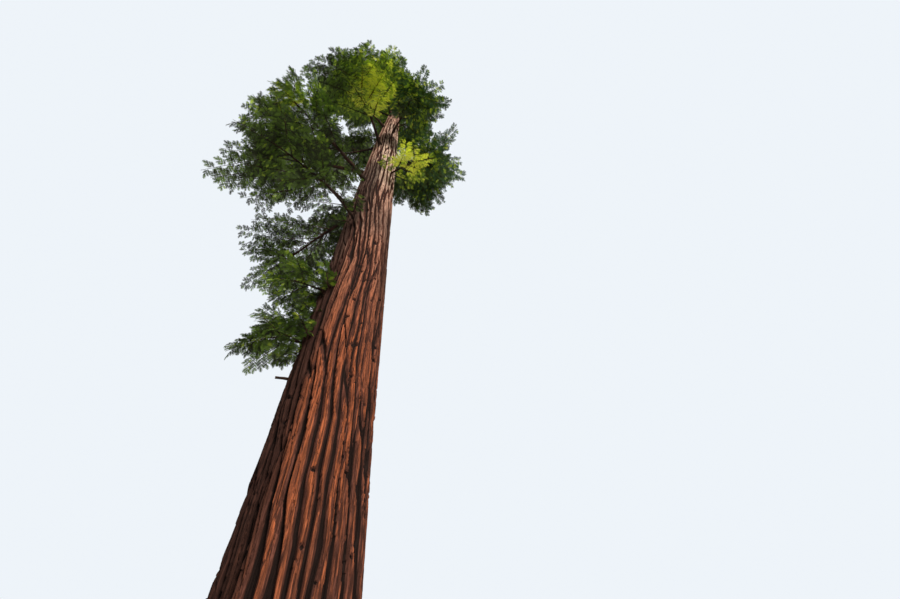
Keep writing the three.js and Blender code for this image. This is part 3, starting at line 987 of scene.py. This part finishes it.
def crown_limb(i):
    share = i / (CROWN_LIMBS - 1)
    height = limb_height(i)
    scatter = AZIMUTH_SCATTER * (chance(i, 1) - 0.5)
    azimuth = keep_open(FIRST_AZIMUTH + i * GOLDEN_ANGLE + scatter, height)
    crowding = 1 - CROWDED_SHARE * max(0, math.cos(azimuth - CROWDED_SIDE))
    scatter = lerp(*REACH_SCATTER, chance(i, 2))
    usual = max(crown_reach(height) * crowding * scatter, SHORTEST_REACH)
    reach = LOWEST_REACH if i == 0 else usual
    longness = min(1, reach / LONG_REACH)
    rise = lerp(LOWEST_RISE, HIGHEST_RISE, share**1.2) + RISE_SCATTER * (chance(i, 3) - 0.5)
    fullness = min(1, share / LOW_SHARE)
    branches = lerp(FEWEST_BRANCHES, MOST_BRANCHES, longness) * lerp(1, FULLER, fullness)
    return limb_values(
        limb_curve(height, azimuth, reach, rise, SAG * 2),
        reach,
        seed=i,
        spray_reach=lerp(0.3, 1, longness),
        bare=BARE_SHARE if i < BOUGHS else 0.0,
        branches=round(branches),
        fullness=fullness,
        fineness=lerp(LOWEST_FINENESS, 1, fullness),
        openness=SPARSE_LIMBS.get(i, 1.0),
    )


def shoot_limb(i):
    height, degrees, reach, rise = SHOOTS[i]
    low = height < LOW_SHOOTS_TOP
    return limb_values(
        limb_curve(height, math.radians(degrees), reach, rise, SAG * 3),
        reach,
        seed=FIRST_SHOOT + i,
        spray_reach=0.4,
        branches=SHOOT_BRANCHES,
        fineness=0.6 if low else 0.72,
        openness=1.0 if low else 1.4,
    )


def leader_limb():
    start = trunk_centre(TRUNK_TOP)
    middle = np.array([start[0], start[1], HEIGHT - 0.7])
    end = np.array([start[0] + 0.06, start[1] + 0.04, HEIGHT - 0.02])
    return limb_values(
        (start, middle, end),
        HEIGHT - TRUNK_TOP,
        seed=LEADER_SEED,
        spray_reach=0.34,
        thickness=LEADER_THICKNESS,
        fineness=0.85,
    )


limbs = [crown_limb(i) for i in range(CROWN_LIMBS)]
limbs += [shoot_limb(i) for i in range(len(SHOOTS))]
limbs.append(leader_limb())
print("limbs:", len(limbs), "and the longest reaches", max(limb["reach"] for limb in limbs), "m")

# %% [markdown]
# ## Space for each limb
# Masses of foliage on a living tree don't grow through each other: each fills the light it finds. A
# point belongs to the limb whose line is nearest, and a branch whose tip would leave its limb's
# space is made shorter, as in the source. The same goes for a tip that would end too far from the
# trunk, inside it, or over the open side.

# %% Whose space a point is in
CROWN_SPREAD = 5.25  # from the trunk's middle line
OPEN_EDGE = math.radians(12)  # a branch may end over the open side's edge by this
LINE_STEPS = 8
LINE_SHARES = [s / LINE_STEPS for s in range(LINE_STEPS + 1)]
LINES = np.array([[on_curve(limb["curve"], share) for share in LINE_SHARES] for limb in limbs])
TWIG_LENGTH = 0.50
BRANCH_SPREAD = CROWN_SPREAD - TWIG_LENGTH / 3
TRUNK_CLEARANCE = (1.1, 0.07)  # times the trunk's radius, and metres more


def nearest_limb(point):
    """The number of the limb whose line is nearest to a point."""
    starts = LINES[:, :-1]
    runs = LINES[:, 1:] - starts
    share = np.clip(((point - starts) * runs).sum(-1) / (runs * runs).sum(-1), 0, 1)
    gaps = np.linalg.norm(starts + share[..., None] * runs - point, axis=-1)
    return int(gaps.min(axis=1).argmin())


def is_on_open_side(point):
    """Whether a point is low on the side that the limbs leave open, away from its edges."""
    off = from_open_side(math.atan2(point[1], point[0]))
    return point[2] < OPEN_TOP and abs(off) < OPEN_HALF_ANGLE - OPEN_EDGE


def is_in_space(point, number):
    """Whether a branch of a limb may end there: nearest to its own limb, and inside the crown."""
    from_axis = math.dist(point[:2], trunk_centre(point[2])[:2])
    if from_axis > BRANCH_SPREAD:
        return False
    if limbs[number]["seed"] < CROWN_LIMBS and is_on_open_side(point):
        return False
    times, more = TRUNK_CLEARANCE
    clear = from_axis > trunk_radius(point[2]) * times + more
    boxed = all(cad_low[i] < point[i] < cad_high[i] for i in range(3))
    return boxed and (clear or point[2] > TRUNK_TOP) and nearest_limb(point) == number


print("lines:", len(LINES), "with", len(LINE_SHARES), "points each")

# %% [markdown]
# ## Growing branches
# Each limb carries long drooping branches. They follow the source's rule for side twigs, with more
# of them: they turn round the limb by the golden angle in a flattened plume. Full limbs droop more,
# and by different amounts. The limb's own end is one branch more.

# %% Branches
FIRST_BRANCH = 0.06  # of the limb's length, after its bare part
LAST_BRANCH = 0.94
TWIG_ANGLE = math.radians(54)
TWIG_SHARE = 0.36  # the source's twig, as a share of the limb's reach
TWIG_SWELL = (0.25, 0.85)  # the part of a sine's arch that the twigs' lengths follow
TWIG_SCATTER = (0.8, 1.15)
FLATNESS = 0.7
UNDER_SHARE = 0.35  # branches under a low limb stand out less far than those above it
SPRAY_DROOP = 0.35
DROOP_VARIATION = 1.0
UNCHANGED_DROOP = 0.3  # the chance at which a full limb's branch droops as on a low limb
BENT_FROM = 0.8  # of the twig: from there on the branch hangs
MASS_REACH = 1.75
BRANCH_SIZES = (1, 0.85, 0.7, 0.55, 0.42, 0.3, 0.2)  # tried until the branch ends in its space
TIP_SIZES = (0.8, 0.7, 0.6, 0.5, 0.4, 0.3)  # a limb's own end is shorter than its branches
TIP_FROM = 0.84
TIP_DROOP = 0.15
SHORTEST_TIP = 0.05


def side_directions(along):
    across = unit(np.cross(UP, along))
    return across, np.cross(along, across)


def branch_curve(limb, number, k):
    """Branch k of a limb: out along the source's twig, then drooping to the end of its blade."""
    share = lerp(limb["bare"] + FIRST_BRANCH, LAST_BRANCH, (k + 0.5) / limb["branches"])
    start = on_curve(limb["curve"], share)
    along = heading(limb["curve"], share)
    across, above = side_directions(along)
    turn = k * GOLDEN_ANGLE + 2 * math.pi * chance(limb["seed"], 20)
    lift = math.sin(turn) * FLATNESS
    under = lerp(UNDER_SHARE, 1, limb["fullness"])
    sideways = across * math.cos(turn) + above * max(lift, lift * under)
    direction = unit(along * math.cos(TWIG_ANGLE) + sideways * math.sin(TWIG_ANGLE))
    swell = math.sin(math.pi * lerp(*TWIG_SWELL, k / limb["branches"]))
    twig = limb["reach"] * TWIG_SHARE * swell * lerp(*TWIG_SCATTER, chance(limb["seed"], 40 + k))
    variation = DROOP_VARIATION * (chance(limb["seed"], 100 + k) - UNCHANGED_DROOP)
    hanging = unit(direction - UP * (SPRAY_DROOP + limb["fullness"] * variation))
    for size in BRANCH_SIZES:
        middle = start + direction * twig * BENT_FROM * size
        end = middle + hanging * MASS_REACH * limb["spray_reach"] * size
        if is_in_space(end, number):
            return start, middle, end
    return None


def tip_curve(limb):
    """The limb's own end, from where it is as thin as a branch."""
    start = on_curve(limb["curve"], TIP_FROM)
    along = heading(limb["curve"], 1)
    middle = on_curve(limb["curve"], 1)
    reach = MASS_REACH * limb["spray_reach"]
    for size in TIP_SIZES:
        end = start + unit(along - UP * TIP_DROOP) * reach * size
        if math.hypot(end[0], end[1]) < BRANCH_SPREAD:
            break
    if np.dot(end - middle, along) < SHORTEST_TIP:
        end = middle + along * SHORTEST_TIP
    end[2] = min(end[2], HEIGHT - TWIG_LENGTH / 2)
    return start, middle, end


def limb_branches(limb, number):
    """The curves of a limb's branches and of its end, or None where there is no space."""
    return [branch_curve(limb, number, k) for k in range(limb["branches"])] + [tip_curve(limb)]


found = [curve for curve in limb_branches(limbs[1], 1) if curve is not None]
print("branches on the second limb:", len(found), "of", limbs[1]["branches"] + 1)

# %% [markdown]
# ## Growing twigs and sprays
# Each branch carries twigs to its left and right, apart from its bare inner end, and each twig
# carries sprays. A particle system could scatter the sprays, but the export drops it. So the growth
# is written as plain loops that collect lists: lines for the wood, each with a radius at every
# point, and places for the sprays.

# %% Sprays on a twig
TWIG_SAG = 0.16
SPRAY_SPACING = 0.055
SPRAY_LENGTH = 0.22
SPRAY_SIZES = (0.75, 1.2)
TIP_SPRAY_SIZE = 0.75
SPRAY_AIM = (0.72, 0.68, 0.35)  # along the twig, to the side, and how much it sways


def twig_curve(start, direction, length):
    end = start + direction * length - UP * length * TWIG_SAG
    return start, start + direction * length * 0.5, end


def twig_sprays(curve, facing, length, limb, seed):
    """Dictionaries that say how each spray of a twig stands."""
    sprays = []
    count = max(1, round(length / (SPRAY_SPACING * limb["fineness"])))
    for j in range(count + 1):
        at_tip = j == count
        share = 1 if at_tip else lerp(0.02, 0.94, (j + 0.5) / count)
        along = heading(curve, share)
        across = np.cross(facing, along) * (1 if (j + seed) % 2 else -1)
        forward, aside, sway = SPRAY_AIM
        turned = along * forward + across * aside + facing * sway * (chance(seed, j) - 0.5)
        size = lerp(*SPRAY_SIZES, chance(seed, 30 + j)) * lerp(1, TIP_SPRAY_SIZE, share)
        spray = {
            "place": on_curve(curve, share),
            "direction": along if at_tip else unit(turned),
            "facing": facing,
            "length": SPRAY_LENGTH * limb["fineness"] * size,
            "form": seed + j,
            "limb": limb["seed"],
            "twig": seed,
        }
        sprays.append(spray)
    return sprays


print("the longest spray is", SPRAY_LENGTH * max(SPRAY_SIZES), "m long")

# %% Twigs on a branch
BARE_BRANCH = 0.2  # the inner share of a branch without twigs
TWIG_SPACING = 0.135
FEWEST_TWIGS = 3
TWIG_FORWARD = (0.45, 0.8)
TWIG_ASIDE = 0.8
TWIG_LIFT = 0.6
BRANCH_ROLL = 0.7  # a branch's twigs lie in a plane that is rolled by this, and each one
TWIG_ROLL = 1.1  # is rolled out of it by this
TWIG_SEEDS = 40  # keeps the twigs of one branch apart from the next one's


def curve_length(curve):
    return math.dist(curve[0], curve[1]) + math.dist(curve[1], curve[2])


def branch_twigs(curve, limb, seed):
    """For each twig of a branch: its curve, the side that it faces, its length and its seed."""
    twigs = []
    length = curve_length(curve)
    spacing = TWIG_SPACING * limb["fineness"] * limb["openness"]
    count = max(FEWEST_TWIGS, round(length / spacing))
    for j in range(count):
        share = lerp(BARE_BRANCH, 0.97, (j + 0.5) / count)
        along = heading(curve, share)
        across, above = side_directions(along)
        roll = BRANCH_ROLL * (chance(seed, 80) - 0.5) + TWIG_ROLL * (chance(seed + j, 81) - 0.5)
        facing = unit(above + across * roll)
        sideways = unit(np.cross(facing, along)) * (1 if j % 2 else -1)
        forward = lerp(*TWIG_FORWARD, chance(seed + j, 84))
        lift = TWIG_LIFT * (chance(seed + j, 83) - 0.5)
        direction = unit(along * forward + sideways * TWIG_ASIDE + facing * lift)
        swell = math.sin(math.pi * lerp(0.22, 0.97, share)) ** 0.7
        size = TWIG_LENGTH * swell * lerp(0.7, 1.15, chance(seed + j, 82))
        size *= min(1, 0.35 + length / 2.4) * limb["fineness"] ** 0.5
        twig = twig_curve(on_curve(curve, share), direction, size)
        twigs.append((twig, facing, size, seed * TWIG_SEEDS + j))
    return twigs


print("twigs on the first of them:", len(branch_twigs(found[0], limbs[1], 0)))

# %% Growth
BRANCH_SEEDS = 37  # keeps the branches of one limb apart from the next one's
BRANCH_STEPS = 7
BRANCH_BASE = 0.006  # a branch's radius at its base: this, and as much again for each metre
BRANCH_TIP = 0.004
TWIG_STEPS = 2
TWIG_RADII = (0.005, 0.0025)


def tapering(curve, steps, radius_from, radius_to):
    """A line of points with radii, along a curve."""
    shares = [s / steps for s in range(steps + 1)]
    return [(on_curve(curve, share), lerp(radius_from, radius_to, share)) for share in shares]


branch_lines, twig_lines, sprays = [], [], []
for number, limb in enumerate(limbs):
    for k, curve in enumerate(limb_branches(limb, number)):
        if curve is None:
            continue
        base = BRANCH_BASE + BRANCH_BASE * curve_length(curve)
        branch_lines.append(tapering(curve, BRANCH_STEPS, base, BRANCH_TIP))
        for twig, facing, size, seed in branch_twigs(curve, limb, limb["seed"] * BRANCH_SEEDS + k):
            twig_lines.append(tapering(twig, TWIG_STEPS, *TWIG_RADII))
            sprays += twig_sprays(twig, facing, size, limb, seed)
print("branches:", len(branch_lines), "twigs:", len(twig_lines), "sprays:", len(sprays))

# %% [markdown]
# ## Wood from lines
# Limbs, branches and twigs are all round tapering wood along a line, so one geometry tree makes
# them all: lines become curves, each point's radius comes from an attribute, and a circle is swept.
# The limbs get swellings of bark as well. A screw or a skin modifier would need a thick mesh for
# the same.

# %% Wood tree
LUMPS_PER_METRE = 9.0
PLATES_PER_METRE = 2.0


def wood_tree():
    tree, inputs = geometry_tree("wood on lines", ["Geometry", "Sides", "Roughness", "Material"])
    radius = add_node(tree, "GeometryNodeInputNamedAttribute", {"Name": "radius"})
    curves = add_node(tree, "GeometryNodeMeshToCurve", [inputs["Geometry"]])
    ring = {"Resolution": inputs["Sides"], "Radius": 1.0}
    circle = add_node(tree, "GeometryNodeCurvePrimitiveCircle", ring)
    swept = {"Curve": curves, "Profile Curve": circle, "Scale": radius, "Fill Caps": True}
    wood = add_node(tree, "GeometryNodeCurveToMesh", swept)
    place = add_node(tree, "GeometryNodeInputPosition")
    lumps = {"Vector": place, "Scale": LUMPS_PER_METRE, "Detail": 3.0}
    lump = add_node(tree, "ShaderNodeTexNoise", lumps, "Fac")
    plates = {"Vector": place, "Scale": PLATES_PER_METRE}
    plate = add_node(tree, "ShaderNodeTexNoise", plates, "Fac")
    for label, value in [("furrow", smooth_step(lump, 0.3, 0.6)), ("plate", plate)]:
        wood = store(wood, label, value)
    normal = add_node(tree, "GeometryNodeInputNormal")
    push = scaled(tree, normal, (lump - 0.5) * inputs["Roughness"])
    shape = add_node(tree, "GeometryNodeSetPosition", {"Geometry": wood, "Offset": push})
    smooth = add_node(tree, "GeometryNodeSetShadeSmooth", [shape])
    end_tree(tree, smooth, inputs["Material"])
    return tree


tree_of_wood = wood_tree()
print("wood tree with", len(tree_of_wood.nodes), "nodes")

# %% Lines as meshes
def add_attribute(mesh, label, kind, values):
    """Gives every point of a mesh a value."""
    number = np.int32 if kind == "INT" else np.float32
    target = "vector" if kind == "FLOAT_VECTOR" else "value"
    held = mesh.attributes.new(label, kind, "POINT").data
    held.foreach_set(target, np.array(values, number).ravel())


def line_mesh(name, lines):
    """A mesh of edges with a radius attribute, from lists of points with radii."""
    points = [point for line in lines for point, _ in line]
    firsts = np.cumsum([0] + [len(line) for line in lines])[:-1]
    edges = []
    for first, line in zip(firsts, lines):
        edges += [(first + i, first + i + 1) for i in range(len(line) - 1)]
    mesh = bpy.data.meshes.new(name)
    mesh.from_pydata(np.array(points), edges, [])
    add_attribute(mesh, "radius", "FLOAT", [radius for line in lines for _, radius in line])
    return mesh


print("helpers: add_attribute, line_mesh")

# %% Limbs, branches and twigs
TIP_RADIUS = 0.012
COLLAR = 0.5  # times as thick again where a limb leaves the trunk
COLLAR_FADE = 0.35
STUB = (6.53, 181, 0.79, 0.12)  # height, azimuth in degrees, reach and rise of a broken limb
STUB_SAG = 0.1
STUB_RADII = (0.046, 0.024)


def limb_line(limb, steps=26):
    """The limb's line with its radii, thicker where it leaves the trunk."""
    line = []
    for s in range(steps + 1):
        share = s / steps
        radius = lerp(limb["thickness"], TIP_RADIUS, share**0.8)
        fading = math.exp(-share * limb["reach"] / COLLAR_FADE)
        collar = COLLAR * limb["thickness"] * fading
        line.append((on_curve(limb["curve"], share), radius + collar))
    return line


height, degrees, reach, rise = STUB
stub_curve = limb_curve(height, math.radians(degrees), reach, rise, STUB_SAG)
thick_lines = [limb_line(limb) for limb in limbs] + [tapering(stub_curve, 10, *STUB_RADII)]
MASS_NODES = [name for name in frame["nodes"] if name.startswith(("foliage", "shoot", "leader"))]
BOUGH_NODES = [name for name in frame["nodes"] if name.startswith("bough")]
wood_pieces = {  # name: lines, sides, roughness and the nodes that it replaces
    "limbs": (thick_lines, 16, 0.03, [*BOUGH_NODES, "dead_stub"]),
    "branches": (branch_lines, 5, 0.004, MASS_NODES),
    "twigs": (twig_lines, 3, 0.0, MASS_NODES),
}
for name, (lines, sides, roughness, nodes) in wood_pieces.items():
    values = {"Sides": sides, "Roughness": roughness, "Material": limb_bark}
    piece = run_tree(tree_of_wood, name, values, line_mesh(name, lines))
    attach(piece, "root")
    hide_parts(*nodes)
    print(piece.name, "from", len(lines), "lines:", triangles(piece), "triangles")

# %% [markdown]
# ## One spray of needles
# Redwood needles stand in two flat rows along a twig, like a feather. A real spray has hundreds,
# each a centimetre or two long. Here a needle is one triangle that stands for a few real ones. A
# spray is two rows of them along a bent midrib, in three forms so that no two look stamped.

# %% Spray meshes
NEEDLE_PAIRS = 6
NEEDLE_BASE = 0.94  # times the room that a needle has along the midrib
ROWS_END = 0.86  # and one needle more stands at the tip
CURL = 0.25
TIP_NEEDLE = [(0.8, 0.03, 0.64), (0.8, -0.03, 0.64), (1.05, 0, 1.1)]  # the last times the bend
SPRAY_FORMS = [  # widest needle as a share of the spray's length, forward lean, bend
    (0.40, 0.28, 0.16),
    (0.34, 0.34, 0.26),
    (0.46, 0.22, 0.08),
]


def spray_mesh(name, widest, lean, bend):
    """A feather of length 1 along +X, bent down at the tip, with a triangle for each needle."""
    points, faces = [], []
    for pair in range(NEEDLE_PAIRS):
        share = (pair + 0.5) / NEEDLE_PAIRS
        half_base = NEEDLE_BASE / 2 / NEEDLE_PAIRS
        reach = widest * math.sin(math.pi * (0.18 + 0.72 * share)) ** 0.8
        for side in (1, -1):
            x = share * ROWS_END + (0.5 / NEEDLE_PAIRS if side < 0 else 0)
            corners = [(x - half_base, 0), (x + half_base, 0), (x + lean * 0.5, side * reach)]
            first = len(points)
            points += [(px, py, -bend * px * px - CURL * abs(py) ** 1.5) for px, py in corners]
            left, right = (first, first + 1) if side > 0 else (first + 1, first)
            faces.append((left, right, first + 2))
    first = len(points)
    points += [(px, py, -bend * down) for px, py, down in TIP_NEEDLE]
    faces.append((first, first + 1, first + 2))
    mesh = bpy.data.meshes.new(name)
    mesh.from_pydata(points, [], faces)
    return mesh


spray_forms = bpy.data.collections.new("spray forms")
bpy.context.scene.collection.children.link(spray_forms)
for number, form in enumerate(SPRAY_FORMS):
    name = f"spray_form_{number}"
    spray_forms.objects.link(bpy.data.objects.new(name, spray_mesh(name, *form)))
NEEDLES_IN_SPRAY = len(spray_forms.objects[0].data.polygons)

# %% [markdown]
# ## Sprays on the twigs
# The sprays are instances on points: each point holds the direction in which its spray grows, the
# side that its flat face looks to, its length and its form. The instances are made real at the end,
# so the result is one plain mesh of needles.

# %% Spray tree
SPRAY_ATTRIBUTES = {
    "direction": "FLOAT_VECTOR",
    "facing": "FLOAT_VECTOR",
    "length": "FLOAT",
    "form": "INT",
}


def spray_tree():
    tree, inputs = geometry_tree("sprays on points", ["Geometry", "Sprays", "Material"])
    named = {
        label: add_node(tree, "GeometryNodeInputNamedAttribute", {"Name": label}, data_type=kind)
        for label, kind in SPRAY_ATTRIBUTES.items()
    }
    axes = [named["direction"], named["facing"]]
    placing = {
        "Points": inputs["Geometry"],
        "Instance": add_node(tree, "GeometryNodeCollectionInfo", [inputs["Sprays"], True, True]),
        "Pick Instance": True,
        "Instance Index": named["form"],
        "Rotation": add_node(
            tree, "FunctionNodeAxesToRotation", axes, primary_axis="X", secondary_axis="Z"
        ),
        "Scale": vector(tree, *[named["length"]] * 3),
    }
    placed = add_node(tree, "GeometryNodeInstanceOnPoints", placing)
    end_tree(tree, placed, inputs["Material"])
    return tree


def point_mesh(name, sprays):
    """A mesh of loose points that hold how their sprays stand."""
    mesh = bpy.data.meshes.new(name)
    mesh.from_pydata(np.array([spray["place"] for spray in sprays]), [], [])
    for label, kind in SPRAY_ATTRIBUTES.items():
        values = np.array([spray[label] for spray in sprays])
        if label == "form":
            values %= len(SPRAY_FORMS)
        add_attribute(mesh, label, kind, values)
    return mesh


tree_of_sprays = spray_tree()
print("spray tree with", len(tree_of_sprays.nodes), "nodes")

# %% [markdown]
# ## Needle colours
# From below, most of the crown is dark green against the sky, and some twigs glow yellow-green
# where the sun gets through. That light and shade are painted into the needles' base colours. A
# gradient painted over the crown would slide when the model is baked, so each spray gets one of a
# few plain greens, by its brightness, which is partly its twig's and its own random tone and partly
# painted light. A twig's sprays mostly share one, and the sunny side leans to the bright ones. Some
# limbs get more or less painted light than the rest, and small painted pools of light or shade lie
# across neighbouring limbs. Away from the sun the leaf green is cooler, as painted shade.

# %% How the greens are dealt out
# each green is a level of brightness, set by random tone and by painted light and shade
GREENS = {  # name: base colour
    "shade": (0.024, 0.034, 0.010),
    "deep": (0.060, 0.104, 0.020),
    "leaf": (0.130, 0.226, 0.031),
    "cool": (0.068, 0.145, 0.052),
    # painted sunlight: this lit green, then the glow where the sun gets through
    "fresh": (0.370, 0.530, 0.050),
    "glow": (0.900, 0.980, 0.120),
}
GREEN_LIMITS = {"deep": 0.30, "leaf": 0.48, "fresh": 0.68, "glow": 0.84}  # where each starts
COOL_LIMBS = {6, 9, 11, 12, 14, 17}  # away from the sun, where the leaf green turns bluish
MORE_LIGHT = {  # by limb: what it gets above or below the usual
    0: -0.10, 2: -0.06, 3: -0.02, 5: -0.08, 7: -0.12, 10: -0.04, 13: 0.04, 15: -0.05, 16: 0.12,
    18: 0.10, 21: 0.20, 23: 0.16, 103: -0.16, 104: 0.10,
}
LIGHT_POOLS = [  # middle, radius and gain: where the sun comes through a gap, or where shade lies
    ((-1.1, -2.9, 21.1), 1.5, 0.34),
    ((-1.2, -3.5, 20.9), 0.8, 0.22),
    ((-1.0, -2.3, 21.4), 0.75, 0.26),
    ((-3.3, -2.9, 15.5), 0.9, 0.26),
    ((-2.4, -2.9, 12.7), 0.9, -0.10),
    ((-2.2, -2.2, 16.1), 0.9, -0.20),
    ((-3.2, -3.9, 15.6), 0.9, -0.18),
    ((-3.2, -3.2, 20.7), 1.2, -0.22),
    ((-0.2, 1.9, 31.0), 1.6, 0.25),
    ((0.9, -1.5, 17.9), 1.0, 0.42),
    ((-2.6, -0.9, 9.1), 0.9, 0.12),
]
BASE_LIGHT = 0.04
SUN_SHARE = 0.20
TWIG_VARIATION = 0.30
SPRAY_VARIATION = 0.40


def brightness(spray):
    """How bright a spray is, from about 0 to 1: by its twig and its own chance, and by painted
    light from the sun, its limb and the pools.
    """
    place = spray["place"]
    outward = Vector((place[0], place[1], 0)).normalized()
    sunny = 0.5 + 0.5 * outward.dot(SUN_FROM.normalized())
    own = TWIG_VARIATION * chance(spray["twig"], 5) + SPRAY_VARIATION * chance(spray["form"], 6)
    pooled = 0
    for middle, radius, gain in LIGHT_POOLS:
        pooled += gain * max(0, 1 - (math.dist(place, middle) / radius) ** 2)
    return BASE_LIGHT + own + SUN_SHARE * sunny + MORE_LIGHT.get(spray["limb"], 0) + pooled


def green_of(spray):
    level = brightness(spray)
    green = next((name for name in reversed(GREEN_LIMITS) if level > GREEN_LIMITS[name]), "shade")
    return "cool" if green == "leaf" and spray["limb"] in COOL_LIMBS else green


ordered = sorted(sprays, key=lambda spray: spray["place"][2])
greens = [green_of(spray) for spray in ordered]
print("sprays of each green:", {green: greens.count(green) for green in GREENS})

# %% [markdown]
# ## Needle pieces
# Each green is one mesh, or several where it would be too heavy for one: then its sprays are parted
# by height. The sample sprays go at the end.

# %% Needle pieces
NEEDLE_ROUGHNESS = 0.55
NEEDLE_SHINE = 0.35
MOST_TRIANGLES = 199_000
MOST_SPRAYS = MOST_TRIANGLES // NEEDLES_IN_SPRAY


def needle_material(name, colour):
    material, _, shader = new_material(name)
    shader.inputs["Base Color"].default_value = (*colour, 1)
    shader.inputs["Roughness"].default_value = NEEDLE_ROUGHNESS
    shader.inputs["Specular IOR Level"].default_value = NEEDLE_SHINE
    return material


for green, colour in GREENS.items():
    material = needle_material("needles " + green, colour)
    chosen = [spray for spray, its_green in zip(ordered, greens) if its_green == green]
    parts = math.ceil(len(chosen) / MOST_SPRAYS)
    for part in range(parts):
        share = chosen[part * len(chosen) // parts : (part + 1) * len(chosen) // parts]
        name = f"needles_{green}_{part + 1}"
        values = {"Sprays": spray_forms, "Material": material}
        piece = run_tree(tree_of_sprays, name, values, point_mesh(name, share))
        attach(piece, "root")
        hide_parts(*MASS_NODES)
        print(piece.name, "with", len(share), "sprays:", triangles(piece), "triangles")
for sample in list(spray_forms.objects):
    bpy.data.objects.remove(sample)
bpy.data.collections.remove(spray_forms)
